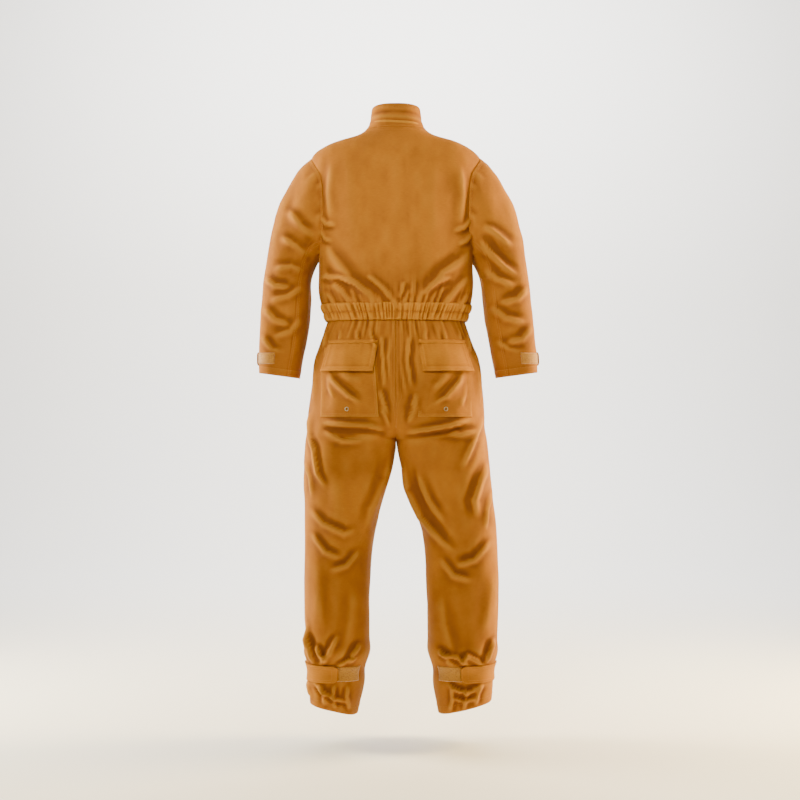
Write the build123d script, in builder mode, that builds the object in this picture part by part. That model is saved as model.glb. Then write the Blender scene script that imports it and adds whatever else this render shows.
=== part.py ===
"""One-piece firefighting coverall, hanging by the loop inside its back neck.

Row frame, in millimetres: origin in the middle of the hanger loop, +Z up, the front faces -Y and the
wearer's left side is +X. Every fabric piece is a thin plate that follows one of four garment volumes
(bodice, seat, sleeve and leg) at its own offset, so the layers of the garment lie on each other.
"""
import os
from functools import lru_cache
from math import atan2, copysign, cos, degrees, pi, radians, sin, sqrt

from build123d import *

# ---------------------------------------------------------------- cloth and clearances
CLOTH = 2.0  # wall of the shell panels
GAP = 0.4  # air between pieces that move on each other
PATCH = 1.0  # thickness of a hook or loop fastener patch
SEAM_CLOTH = 1.6  # wall of pockets and casing
FACING = 1.6
BAG_AIR = 1.2  # air inside an empty patch pocket
HEM_LEDGE = 9.0  # sewn margin round a patch pocket
FAR = 1000.0  # half side of the cutting blocks

# ---------------------------------------------------------------- body of the garment
BODICE_LENGTH = 514.0  # back neck seam to waist seam
RISE = 300.0  # waist seam to crotch
INSEAM = 728.0  # crotch to hem
NECK_WIDTH = 160.0
SHOULDER_WIDTH = 452.0
CHEST_WIDTH = 410.0
WAIST_WIDTH = 362.0
HIP_WIDTH = 474.0
CHEST_DEPTH = 217.0
WAIST_DEPTH = 197.0
HIP_DEPTH = 246.0
COLLAR_HEIGHT = 66.0
FRONT_NECK_DROP = 62.0  # front neck seam below the back neck seam
COLLAR_BACK_Y = 9.0  # outside of the collar at the centre back
FRONT_TOP_Y = -122.0  # straight centre front line, level with the back neck seam
FRONT_SLOPE = 0.065  # how far the centre front line runs forward per unit down
SIDE_Y = -46.0  # plane of the shoulder, side and leg seams

# ---------------------------------------------------------------- sleeves
SLEEVE_LENGTH = 580.0  # shoulder point to cuff
SLEEVE_WIDTH = 134.0  # at the elbow
CUFF_WIDTH = 100.0
SLEEVE_SPLAY = {"left": -5.0, "right": 7.0}  # how far each cuff hangs outwards
CUFF_SLANT = 8.0  # degrees, the cuff is lower on its inner side

# ---------------------------------------------------------------- legs
THIGH_WIDTH = 236.0
KNEE_WIDTH = 190.0
ANKLE_WIDTH = 172.0
HEM_WIDTH = 126.0
ANKLE_X = {"left": 158.0, "right": 178.0}  # centre of each ankle from the centre back
LEG_FULLNESS = {"left": 0.96, "right": 1.04}
HEM_SLANT = 14.0  # degrees, the hem is higher on its outer side

# ---------------------------------------------------------------- joints of the limbs
SHOULDER_X = 200.0
SHOULDER_DEPTH = 150.0  # below the back neck seam
SHOULDER_RADIUS = 100.0
HIP_BELOW_CROTCH = 36.0
HIP_Y = -50.0
HIP_RADIUS = 140.0

# ---------------------------------------------------------------- small parts
CASING_HEIGHT = 48.0
CASING_SEAM = 5.0  # sewn margin above and below the elastic
CASING_FRONT_GAP = 24.0  # half the stretch without casing at the zip
ELASTIC_THICK = 1.2
REAR_POCKET_WIDTH = 155.0
REAR_POCKET_HEIGHT = 192.0  # flap hinge to pocket bottom
REAR_POCKET_X = 129.0
REAR_FLAP_HEIGHT = 72.0
REAR_POCKET_BELOW_WAIST = 62.0
CHEST_POCKET_WIDTH = 120.0
CHEST_POCKET_HEIGHT = 150.0
CHEST_POCKET_X = 108.0
CHEST_POCKET_DEPTH = 190.0  # flap hinge below the back neck seam
CHEST_FLAP_HEIGHT = 52.0
REAR_FLAP_WRAP = 30.0  # a rear flap ends at this y where the hip turns forwards, so that it can lift
FLAP_OVERHANG = 3.0  # a flap is this much wider than its pocket, on each side
HEADING = 10.0  # sewn strip that carries a flap
MOUTH_DROP = 8.0  # pocket mouth below the flap's hinge
HINGE_GAP = 1.4  # between a heading and its flap, so that the flap's edge can turn
EYELET_HOLE = 3.0  # radius
EYELET_BARREL = 4.0  # radius
EYELET_FLANGE = 5.6  # radius
EYELET_RIM = 0.7  # thickness of each flange
EYELET_ABOVE_HEM = 23.0
EYELET_CUT = 20.0  # length of the round cutters, well past the pocket's wall
CUFF_TAB_WIDTH = 36.0
ANKLE_TAB_WIDTH = 46.0
CUFF_TAB_ABOVE_HEM = 46.0
ANKLE_TAB_ABOVE_HEM = 100.0
TAB_BASE = 10.0  # sewn end of a closing tab
TAB_CLOTH = 1.8
ZIP_GAP = 4.6  # half the opening between the two fronts
TOOTH_PITCH = 5.0
TOOTH_HEIGHT = 2.1
TOOTH_TIP = 0.6  # from the centre line, so that the slider's web passes between the rows
TOOTH_ROOT = 3.0
TOOTH_SPINE = 0.8
TEETH_FRONT = 0.8  # teeth stand this far in front of the tape
TAPE_WIDTH = 15.0
TAPE_THICK = 0.8
ZIP_BOTTOM_ABOVE_CROTCH = 66.0
SLIDER_WIDTH = 12.0
SLIDER_LENGTH = 16.0
SLIDER_THICK = 1.6  # of each plate
SLIDER_WEB = 0.6
PULL_WIDTH = 9.0
PULL_LENGTH = 34.0
PULL_PIN = 1.0
PULL_CLEARANCE = 0.1
LOOP_SPAN = 72.0
LOOP_STRAP = 9.0
LOOP_THICK = 1.5
LOOP_BOW = 5.0  # how far the strap stands in front of the origin
LOOP_REACH = 46.0  # half the strap's length before it meets the collar
LOOP_END_Y = 4.0

WAIST_Z = -BODICE_LENGTH
CROTCH_Z = WAIST_Z - RISE
HEM_Z = CROTCH_Z - INSEAM
SHOULDER_Z = -SHOULDER_DEPTH
HIP_Z = CROTCH_Z - HIP_BELOW_CROTCH
SLEEVE_TOP_Z = -78.0
CUFF_Z = SLEEVE_TOP_Z - SLEEVE_LENGTH
COLLAR_TOP_Z = COLLAR_HEIGHT
ZIP_TOP_Z = -FRONT_NECK_DROP - 4.0
ZIP_BOTTOM_Z = CROTCH_Z + ZIP_BOTTOM_ABOVE_CROTCH
SIDES = {"left": 1, "right": -1}
FACETS = 12
FULLNESS = 0.75  # 1 is an ellipse, less is squarer


def front_y(z):
    """The straight centre front line."""
    return FRONT_TOP_Y + FRONT_SLOPE * z


# ================================================================ volumes
def squared(share):
    """A cosine or sine made fuller at the corners of an oval, and 1 on its outermost facet."""
    return copysign((abs(share) / cos(pi / FACETS)) ** FULLNESS, share)


def lofted(sections, grow, lift=0.0):
    """A faceted solid through level ovals (z, x centre, half width, front y, back y), grown and lifted.

    The facets in front, at the back and at the sides are flat at the given sizes.
    """
    turns = [2 * pi * (k + 0.5) / FACETS for k in range(FACETS)]
    corners = [(squared(cos(a)), squared(sin(a))) for a in turns]
    with BuildPart(mode=Mode.PRIVATE) as volume:
        for z, x, half_width, front, back in sections:
            wide = half_width + grow
            deep = (back - front) / 2 + grow
            mid_y = (back + front) / 2
            with BuildSketch(Plane.XY.offset(z + lift)):
                with BuildLine():
                    ring = [(x + wide * across, mid_y + deep * along) for across, along in corners]
                    Polyline(ring, close=True)
                make_face()
        loft(ruled=True)
    return volume.part


@lru_cache(maxsize=None)
def bodice(grow):
    """Collar, shoulders and chest down past the waist."""
    down = BODICE_LENGTH
    neck, shoulder = NECK_WIDTH / 2, SHOULDER_WIDTH / 2
    chest, waist = CHEST_WIDTH / 2, WAIST_WIDTH / 2
    chest_back = front_y(-0.58 * down) + CHEST_DEPTH
    waist_back = front_y(-down) + WAIST_DEPTH
    levels = [
        (COLLAR_TOP_Z + 30, neck * 0.84, COLLAR_BACK_Y - 10),
        (0, neck, COLLAR_BACK_Y),
        (-0.032 * down, neck * 1.32, COLLAR_BACK_Y + 8),
        (-0.068 * down, shoulder * 0.72, COLLAR_BACK_Y + 17),
        (-0.13 * down, shoulder * 0.96, COLLAR_BACK_Y + 32),
        (-0.26 * down, shoulder * 0.985, chest_back - 16),
        (-0.58 * down, chest, chest_back),
        (-0.84 * down, chest * 0.99, chest_back - 6),
        (-0.93 * down, waist * 1.05, waist_back + 8),
        (-down, waist, waist_back),
        (-down - 40, waist * 1.02, waist_back + 8),
    ]
    return lofted([(z, 0, w, front_y(z), b) for z, w, b in levels], grow, grow)


@lru_cache(maxsize=None)
def seat(grow):
    """Hips from above the waist seam to the crotch."""
    waist, hip = WAIST_WIDTH / 2, HIP_WIDTH / 2
    waist_back = front_y(WAIST_Z) + WAIST_DEPTH
    hip_back = front_y(CROTCH_Z) + HIP_DEPTH
    levels = [
        (WAIST_Z + 30, waist * 0.97, waist_back - 4),
        (WAIST_Z, waist, waist_back),
        (WAIST_Z - 0.22 * RISE, hip * 0.86, waist_back + 18),
        (WAIST_Z - 0.55 * RISE, hip * 0.95, hip_back - 2),
        (CROTCH_Z + 12, hip, hip_back - 4),
    ]
    bottom = CROTCH_Z - 12 - grow
    rings = [(z, 0, w, front_y(z), b) for z, w, b in levels]
    rings.append((bottom, 0, hip * 0.80, front_y(bottom) + 34, hip_back - 40))
    return lofted(rings, grow)


@lru_cache(maxsize=None)
def leg(side, grow):
    """One trouser leg, from inside the seat to below the hem."""
    x = ANKLE_X[side]
    full = LEG_FULLNESS[side]
    thigh, knee = THIGH_WIDTH / 2, KNEE_WIDTH / 2 * full
    ankle, hem = ANKLE_WIDTH / 2 * full, HEM_WIDTH / 2 * full
    levels = [
        (CROTCH_Z + 0.08 * INSEAM, 0.73 * thigh + 22, thigh * 0.86, 92),
        (CROTCH_Z, thigh + 3, thigh, 112),
        (CROTCH_Z - 0.10 * INSEAM, thigh * 1.09, thigh * 0.99, 112),
        (CROTCH_Z - 0.38 * INSEAM, 0.97 * x, knee, 96),
        (CROTCH_Z - 0.80 * INSEAM, x, ankle, 88),
        (HEM_Z + 10, x + 6, hem, 66),
        (HEM_Z - 60, x + 6, hem * 0.9, 60),
    ]
    rings = []
    for z, centre, half_width, half_depth in levels:
        mid_y = HIP_Y + 0.018 * (CROTCH_Z - z)
        rings.append((z, SIDES[side] * centre, half_width, mid_y - half_depth, mid_y + half_depth))
    return lofted(rings, grow)


@lru_cache(maxsize=None)
def sleeve(side, grow):
    """One sleeve, from its head inside the shoulder to below the cuff."""
    elbow, cuff = SLEEVE_WIDTH / 2, CUFF_WIDTH / 2
    tip = SHOULDER_WIDTH / 2
    long = SLEEVE_LENGTH
    levels = [
        (0.00, tip - 40, 20, 26),
        (0.05, tip - 7, 38, 52),
        (0.13, tip + 6, 50, 72),
        (0.34, tip + 36, 65, 86),
        (0.50, tip + 57, 66, 79),
        (0.57, tip + 67, elbow * 0.94, 75),
        (0.86, tip + 83, elbow * 0.88, 62),
        (1.06, tip + 88, cuff * 0.98, 53),
    ]
    rings = []
    for share, centre, half_width, half_depth in levels:
        hang = max(0.0, share - 0.4) / 0.6
        x = centre + SLEEVE_SPLAY[side] * hang
        mid_y = SIDE_Y + 2 - 30 * hang
        z = SLEEVE_TOP_Z - share * long
        rings.append((z, SIDES[side] * x, half_width, mid_y - half_depth, mid_y + half_depth))
    return lofted(rings, grow, grow)


# ================================================================ helpers
def block(x=(-FAR, FAR), y=(-FAR, FAR), z=(-2 * FAR, FAR)):
    """A cutting block between the given limits."""
    size = [high - low for low, high in (x, y, z)]
    middle = [(high + low) / 2 for low, high in (x, y, z)]
    return Pos(*middle) * Box(*size, mode=Mode.PRIVATE)


def span(side, near, far):
    """X limits of a stretch between two distances from the centre, on one side."""
    return tuple(sorted((SIDES[side] * near, SIDES[side] * far)))


def plate(volume, low, high, *inside, without=()):
    """The layer of a volume between two offsets, inside some blocks and without others."""
    with BuildPart(mode=Mode.PRIVATE) as layer:
        add(volume(high))
        for cutter in inside:
            add(cutter, mode=Mode.INTERSECT)
        for cutter in without:
            add(cutter, mode=Mode.SUBTRACT)
        add(volume(low), mode=Mode.SUBTRACT)
    return layer.part


def on_side(volume, side):
    """A sleeve's or a leg's volume as a function of its offset alone."""
    return lambda grow: volume(side, grow)


def save(label, part):
    """Labels a finished piece and writes its STEP file."""
    part.label = label
    export_step(part, f"parts/{label}.step")
    return part


def outward_plane(solid, x, z):
    """A plane on the back of a solid at (x, z), facing outwards."""
    hits = solid.find_intersection_points(Axis((x, FAR, z), (0, -1, 0)))
    point, normal = max(hits, key=lambda hit: hit[0].Y)
    return Plane(origin=point, z_dir=normal if normal.Y > 0 else -normal)


def neck_cut(back, side, front):
    """Everything above a line that dips from the back of the neck over its sides to the front."""
    with BuildPart(mode=Mode.PRIVATE) as above:
        with BuildSketch(Plane.YZ.offset(-FAR)):
            with BuildLine():
                seam = Spline(
                    (COLLAR_BACK_Y + 60, back),
                    (COLLAR_BACK_Y, back),
                    (SIDE_Y, side),
                    (front_y(0) + 22, 0.3 * side + 0.7 * front),
                    (front_y(0) - 8, front),
                    (front_y(0) - 60, front - 20),
                )
                Polyline(seam @ 1, (front_y(0) - 60, FAR), (COLLAR_BACK_Y + 60, FAR), seam @ 0)
            make_face()
        extrude(amount=2 * FAR)
    return above.part


def arm_hinge(side, radius):
    """The round block about the axis that a sleeve swings on."""
    with BuildPart(mode=Mode.PRIVATE) as drum:
        with BuildSketch(Plane.XZ.offset(-FAR / 2)):
            with Locations((SIDES[side] * SHOULDER_X, SHOULDER_Z)):
                Circle(radius)
        extrude(amount=FAR)
    return drum.part


def hip_hinge(radius):
    """The round block about the axis that both legs swing on."""
    with BuildPart(mode=Mode.PRIVATE) as drum:
        with BuildSketch(Plane.YZ.offset(-FAR / 2)):
            with Locations((HIP_Y, HIP_Z)):
                Circle(radius)
        extrude(amount=FAR)
    return drum.part


def above_slant(side, x, z, slant):
    """Everything above a plane through (x, z) that rises outwards by slant degrees on that side."""
    tilt = radians(slant)
    outwards = SIDES[side]
    plane = Plane(origin=(outwards * x, 0, z), x_dir=(0, 1, 0), z_dir=(-outwards * sin(tilt), 0, cos(tilt)))
    return plane * Pos(0, 0, FAR) * Box(4 * FAR, 4 * FAR, 2 * FAR, mode=Mode.PRIVATE)


# ================================================================ outlines that several pieces share
ABOVE_NECK_SEAM = neck_cut(0, -4, -FRONT_NECK_DROP)
ABOVE_COLLAR = neck_cut(COLLAR_HEIGHT, COLLAR_HEIGHT - 16, -FRONT_NECK_DROP + 0.9 * COLLAR_HEIGHT)
BELOW_FACING = neck_cut(-14, -18, -FRONT_NECK_DROP - 2)
ZIP_OPENING = block(x=(-ZIP_GAP, ZIP_GAP), y=(-FAR, SIDE_Y), z=(ZIP_BOTTOM_Z, FAR))


@lru_cache(maxsize=None)
def trousers(grow):
    """Seat and both upper legs as one volume."""
    with BuildPart(mode=Mode.PRIVATE) as volume:
        add(seat(grow))
        for side in SIDES:
            add(leg(side, grow))
    return volume.part


os.makedirs("parts", exist_ok=True)

# ================================================================ bodice
with BuildPart() as back_bodice:
    add(
        plate(
            bodice, 0, CLOTH, block(y=(SIDE_Y, FAR), z=(WAIST_Z, FAR)),
            without=[ABOVE_NECK_SEAM, sleeve("left", 0), sleeve("right", 0)],
        )
    )
save("back_bodice", back_bodice.part)

for side in SIDES:
    with BuildPart() as front_bodice:
        add(
            plate(
                bodice, 0, CLOTH, block(x=span(side, ZIP_GAP, FAR), y=(-FAR, SIDE_Y), z=(WAIST_Z, FAR)),
                without=[ABOVE_NECK_SEAM, sleeve(side, 0)],
            )
        )
    save(f"{side}_front_bodice", front_bodice.part)

    with BuildPart() as shoulder_cap:
        add(
            plate(
                on_side(sleeve, side), 0, CLOTH, arm_hinge(side, SHOULDER_RADIUS - GAP),
                without=[bodice(CLOTH)],
            )
        )
    save(f"{side}_shoulder_cap", shoulder_cap.part)

# ================================================================ collar
for label, low, high, bottom in (
    ("collar", 0, CLOTH, ABOVE_NECK_SEAM),
    ("collar_facing", -FACING, 0, BELOW_FACING),
):
    with BuildPart() as band:
        add(plate(bodice, low, high, bottom, without=[ABOVE_COLLAR, ZIP_OPENING]))
    save(label, band.part)

with BuildPart() as hanger_loop:
    with BuildSketch(Plane.XY.offset(-LOOP_STRAP / 2)):
        with BuildLine():
            outer = ThreePointArc((-LOOP_REACH, LOOP_END_Y), (0, -LOOP_BOW), (LOOP_REACH, LOOP_END_Y))
            end_y = LOOP_END_Y - LOOP_THICK
            inner = ThreePointArc((-LOOP_REACH, end_y), (0, -LOOP_BOW - LOOP_THICK), (LOOP_REACH, end_y))
            Line(outer @ 0, inner @ 0)
            Line(outer @ 1, inner @ 1)
        make_face()
    extrude(amount=LOOP_STRAP)
    add(bodice(-FACING), mode=Mode.INTERSECT)
    for side in SIDES:
        end = block(x=span(side, LOOP_SPAN / 2 - 3, LOOP_SPAN / 2 + 8), y=(SIDE_Y, FAR),
                    z=(-LOOP_STRAP / 2, LOOP_STRAP / 2))
        add(plate(bodice, -FACING - LOOP_THICK, -FACING, end))
save("hanger_loop", hanger_loop.part)

# ================================================================ waist
CASING_BAND = (WAIST_Z, WAIST_Z + CASING_HEIGHT)
TUNNEL = (WAIST_Z + CASING_SEAM, WAIST_Z + CASING_HEIGHT - CASING_SEAM)
CASING_OUT = CLOTH + ELASTIC_THICK
CASING_GAP = block(x=(-CASING_FRONT_GAP, CASING_FRONT_GAP), y=(-FAR, SIDE_Y))

with BuildPart() as waist_casing:
    add(plate(bodice, CLOTH, CASING_OUT + SEAM_CLOTH, block(z=CASING_BAND), without=[CASING_GAP]))
    add(plate(bodice, CLOTH, CASING_OUT, block(y=(SIDE_Y - 20, FAR), z=TUNNEL)), mode=Mode.SUBTRACT)
save("waist_casing", waist_casing.part)

with BuildPart() as waist_elastic:
    add(plate(bodice, CLOTH, CASING_OUT, block(y=(SIDE_Y - 20, FAR), z=TUNNEL)))
save("waist_elastic", waist_elastic.part)

# ================================================================ seat
with BuildPart() as seat_shell:
    add(trousers(CLOTH))
    with BuildPart(mode=Mode.PRIVATE) as fixed_zone:
        add(block(z=(HIP_Z, WAIST_Z)))
        add(hip_hinge(HIP_RADIUS - GAP))
    add(fixed_zone.part & block(z=(-2 * FAR, WAIST_Z)), mode=Mode.INTERSECT)
    add(trousers(0), mode=Mode.SUBTRACT)
    add(ZIP_OPENING, mode=Mode.SUBTRACT)

for side in SIDES:
    for name, depth in (("seat_back", (SIDE_Y, FAR)), ("seat_front", (-FAR, SIDE_Y))):
        with BuildPart() as panel:
            add(seat_shell.part)
            add(block(x=span(side, 0, FAR), y=depth), mode=Mode.INTERSECT)
        save(f"{side}_{name}", panel.part)


# ================================================================ patch pockets
def patch_pocket(volume, side, middle, width, hinge_z, height, depth):
    """A flat bag sewn on three edges, with the heading strip that carries its flap."""
    bag = CLOTH + BAG_AIR
    wall = bag + SEAM_CLOTH
    near, far = middle - width / 2, middle + width / 2
    mouth, heading = hinge_z - MOUTH_DROP, hinge_z + HINGE_GAP
    with BuildPart(mode=Mode.PRIVATE) as pocket:
        add(plate(volume, CLOTH, wall, block(span(side, near, far), depth, (hinge_z - height, heading + 1))))
        within = span(side, near + HEM_LEDGE, far - HEM_LEDGE)
        hollow = block(within, depth, (hinge_z - height + HEM_LEDGE, heading))
        add(hollow & volume(bag), mode=Mode.SUBTRACT)
        add(block(within, depth, (mouth, heading)), mode=Mode.SUBTRACT)
        top = block(span(side, near, far), depth, (heading, heading + HEADING))
        add(plate(volume, CLOTH, wall + GAP + TAB_CLOTH, top))
    return pocket.part


def pocket_flap(volume, side, middle, width, hinge_z, height, depth):
    """The loose flap over a patch pocket, just off the pocket's wall."""
    low = CLOTH + BAG_AIR + SEAM_CLOTH + GAP
    reach = width / 2 + FLAP_OVERHANG
    edges = block(span(side, middle - reach, middle + reach), depth, (hinge_z - height, hinge_z))
    with BuildPart(mode=Mode.PRIVATE) as flap:
        add(plate(volume, low, low + TAB_CLOTH, edges))
    return flap.part


REAR_HINGE_Z = WAIST_Z - REAR_POCKET_BELOW_WAIST
REAR_BOTTOM_Z = REAR_HINGE_Z - REAR_POCKET_HEIGHT
EYELET_Z = REAR_BOTTOM_Z + EYELET_ABOVE_HEM
BACK = (SIDE_Y, FAR)
FRONT = (-FAR, SIDE_Y)
BAG_INSIDE = CLOTH + BAG_AIR
BAG_OUTSIDE = BAG_INSIDE + SEAM_CLOTH

with BuildPart() as eyelets:
    for side in SIDES:
        seat_plane = outward_plane(seat(BAG_OUTSIDE), SIDES[side] * REAR_POCKET_X, EYELET_Z)
        flange, barrel, hole = (
            seat_plane * Cylinder(radius, EYELET_CUT, mode=Mode.PRIVATE)
            for radius in (EYELET_FLANGE, EYELET_BARREL, EYELET_HOLE)
        )
        disc = (flange & seat(BAG_OUTSIDE + EYELET_RIM)) - seat(BAG_INSIDE - EYELET_RIM)
        groove = ((flange - barrel) & seat(BAG_OUTSIDE)) - seat(BAG_INSIDE)
        add(disc - groove - hole)
save("rear_pocket_eyelets", eyelets.part)

for side in SIDES:
    rear = (seat, side, REAR_POCKET_X, REAR_POCKET_WIDTH, REAR_HINGE_Z)
    seat_plane = outward_plane(seat(BAG_OUTSIDE), SIDES[side] * REAR_POCKET_X, EYELET_Z)
    barrel = seat_plane * Cylinder(EYELET_BARREL, EYELET_CUT, mode=Mode.PRIVATE)
    with BuildPart() as rear_pocket:
        add(patch_pocket(*rear, REAR_POCKET_HEIGHT, BACK))
        add(barrel - seat(CLOTH), mode=Mode.SUBTRACT)
    save(f"{side}_rear_pocket", rear_pocket.part)
    save(f"{side}_rear_flap", pocket_flap(*rear, REAR_FLAP_HEIGHT, (REAR_FLAP_WRAP, FAR)))
    chest = (bodice, side, CHEST_POCKET_X, CHEST_POCKET_WIDTH, -CHEST_POCKET_DEPTH)
    save(f"{side}_chest_pocket", patch_pocket(*chest, CHEST_POCKET_HEIGHT, FRONT))
    save(f"{side}_chest_flap", pocket_flap(*chest, CHEST_FLAP_HEIGHT, FRONT))

# ================================================================ sleeves and legs
SEAM_TOP = (SHOULDER_WIDTH / 2 - 18, -366.0)
SEAM_LOW = (SHOULDER_WIDTH / 2 + 66, CUFF_Z + 26)
SEAM_LEAN = degrees(atan2(SEAM_TOP[1] - SEAM_LOW[1], SEAM_LOW[0] - SEAM_TOP[0]))

for side in SIDES:
    hinge = arm_hinge(side, SHOULDER_RADIUS)
    outside_seam = above_slant(side, *SEAM_TOP, -SEAM_LEAN)
    with BuildPart() as whole_sleeve:
        add(on_side(sleeve, side)(CLOTH))
        add(above_slant(side, SHOULDER_WIDTH / 2 + 88, CUFF_Z, CUFF_SLANT), mode=Mode.INTERSECT)
        add(hinge, mode=Mode.SUBTRACT)
        add(bodice(CLOTH + GAP), mode=Mode.SUBTRACT)
        add(sleeve(side, 0), mode=Mode.SUBTRACT)
    with BuildPart() as top_sleeve:
        add(whole_sleeve.part)
        add(outside_seam, mode=Mode.INTERSECT)
    save(f"{side}_top_sleeve", top_sleeve.part)
    with BuildPart() as under_sleeve:
        add(whole_sleeve.part)
        add(outside_seam, mode=Mode.SUBTRACT)
    save(f"{side}_under_sleeve", under_sleeve.part)

    for name, depth in (("leg_back", BACK), ("leg_front", FRONT)):
        with BuildPart() as panel:
            add(leg(side, CLOTH))
            add(block(y=depth, z=(-2 * FAR, HIP_Z)), mode=Mode.INTERSECT)
            add(above_slant(side, ANKLE_X[side], HEM_Z + 8, HEM_SLANT), mode=Mode.INTERSECT)
            add(hip_hinge(HIP_RADIUS), mode=Mode.SUBTRACT)
            add(leg(side, 0), mode=Mode.SUBTRACT)
        save(f"{side}_{name}", panel.part)

# ================================================================ closing tabs
def limb_middle(volume, side, z):
    """Centre of a limb at a height: x outwards from the garment's centre, and y."""
    box = (volume(side, 0) & block(z=(z - 0.5, z + 0.5))).bounding_box()
    return box.center().X * SIDES[side], box.center().Y


TAB_LOW = CLOTH + PATCH + GAP
TAB_HIGH = TAB_LOW + TAB_CLOTH


def closing_tab(name, volume, side, z, width, base, strap, patch):
    """A tab on a limb: its sewn base, the strap that swings on it and the loop patch that it closes on.

    base, strap and patch are each a pair of x and y limits, from the limb's centre, outwards and back.
    """
    x, y = limb_middle(volume, side, z)
    heights = (z - width / 2, z + width / 2)
    for label, (low, high), (across, along), margin in (
        (f"{side}_{name}_tab_base", (CLOTH, TAB_HIGH), base, 0),
        (f"{side}_{name}_tab", (TAB_LOW, TAB_HIGH), strap, 0),
        (f"{side}_{name}_loop_patch", (CLOTH, CLOTH + PATCH), patch, 3),
    ):
        zone = block(
            span(side, x + across[0], x + across[1]),
            (y + along[0], y + along[1]),
            (heights[0] + margin, heights[1] - margin),
        )
        with BuildPart() as piece:
            add(plate(on_side(volume, side), low, high, zone))
        save(label, piece.part)


CUFF_TAB_Z = CUFF_Z + CUFF_TAB_ABOVE_HEM
ANKLE_TAB_Z = HEM_Z + ANKLE_TAB_ABOVE_HEM
CUFF_HINGE_Y = -34.0  # from the middle of the sleeve
CUFF_STRAP_END_Y = 8.0
ANKLE_HINGE_Y = 6.0  # from the middle of the leg

for side in SIDES:
    closing_tab(
        "cuff", sleeve, side, CUFF_TAB_Z, CUFF_TAB_WIDTH,
        base=((0, FAR), (CUFF_HINGE_Y - TAB_BASE, CUFF_HINGE_Y - HINGE_GAP)),
        strap=((0, FAR), (CUFF_HINGE_Y, CUFF_STRAP_END_Y)),
        patch=((6, FAR), (-6, FAR)),
    )
    closing_tab(
        "ankle", leg, side, ANKLE_TAB_Z, ANKLE_TAB_WIDTH,
        base=((0, FAR), (ANKLE_HINGE_Y - TAB_BASE, ANKLE_HINGE_Y - HINGE_GAP)),
        strap=((-10, FAR), (ANKLE_HINGE_Y, FAR)),
        patch=((-60, -6), (0, FAR)),
    )

COLLAR_TAB = (-46.0, -20.0)
COLLAR_HINGE_X = 34.0
for label, low, high, across in (
    ("throat_tab_base", CLOTH, TAB_HIGH, (COLLAR_HINGE_X + HINGE_GAP, COLLAR_HINGE_X + TAB_BASE)),
    ("throat_tab", TAB_LOW, TAB_HIGH, (-42, COLLAR_HINGE_X)),
    ("throat_loop_patch", CLOTH, CLOTH + PATCH, (-48, -12)),
):
    with BuildPart() as piece:
        add(plate(bodice, low, high, block(across, FRONT, COLLAR_TAB)))
    save(label, piece.part)

# ================================================================ front zip
ZIP_LEAN = sqrt(1 + FRONT_SLOPE**2)  # length along the centre front line per unit of height
TEETH_LOW = -2 * TAPE_THICK
STOP_HEIGHT = 4.0
ROW_BOTTOM_Z = ZIP_BOTTOM_Z + STOP_HEIGHT
ROW_LENGTH = (ZIP_TOP_Z - ZIP_BOTTOM_Z - 2 * STOP_HEIGHT) * ZIP_LEAN


def zip_plane(z, out=0.0):
    """A plane on the centre front line: x to the wearer's left, y up along the zip, z forwards."""
    forwards = Vector(0, -1, FRONT_SLOPE).normalized()
    return Plane(origin=Vector(0, front_y(z), z) + forwards * out, x_dir=(1, 0, 0), z_dir=forwards)


def strip(low, high, across, bottom, top):
    """A layer behind the front edge, through the waist seam."""
    upper = plate(bodice, low, high, block(across, FRONT, (WAIST_Z, top)))
    lower = plate(seat, low, high, block(across, FRONT, (bottom, WAIST_Z)))
    return upper, lower


for side in SIDES:
    with BuildPart() as tape:
        across = span(side, TOOTH_ROOT, TOOTH_ROOT + TAPE_WIDTH)
        for piece in strip(-TAPE_THICK, 0, across, ZIP_BOTTOM_Z, ZIP_TOP_Z):
            add(piece)
    save(f"{side}_zipper_tape", tape.part)

    count = int(ROW_LENGTH / TOOTH_PITCH) - 1
    shift = TOOTH_PITCH / 2 if side == "left" else 0
    with BuildPart() as teeth:
        with BuildSketch(zip_plane(ROW_BOTTOM_Z, TEETH_LOW)):
            with Locations((SIDES[side] * (TOOTH_ROOT - TOOTH_SPINE / 2), ROW_LENGTH / 2)):
                Rectangle(TOOTH_SPINE, ROW_LENGTH)
            row_middle = ROW_LENGTH / 2 + shift - TOOTH_PITCH / 4
            with Locations((SIDES[side] * (TOOTH_ROOT + TOOTH_TIP) / 2, row_middle)):
                with GridLocations(0, TOOTH_PITCH, 1, count):
                    Rectangle(TOOTH_ROOT - TOOTH_TIP, TOOTH_HEIGHT)
        extrude(amount=TEETH_FRONT - TEETH_LOW)
    save(f"{side}_zipper_teeth", teeth.part)

GUARD_OUT = -4.4
GUARD_IN = GUARD_OUT - SEAM_CLOTH
GUARD_SEAM = (TOOTH_ROOT + TAPE_WIDTH, TOOTH_ROOT + TAPE_WIDTH + 6)
with BuildPart() as zip_guard:
    for piece in strip(GUARD_IN, GUARD_OUT, (-GUARD_SEAM[0], GUARD_SEAM[1]), ZIP_BOTTOM_Z - 8, ZIP_TOP_Z - 6):
        add(piece)
    for piece in strip(GUARD_OUT, 0, GUARD_SEAM, ZIP_BOTTOM_Z - 8, ZIP_TOP_Z - 6):
        add(piece)
save("zip_guard", zip_guard.part)

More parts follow.
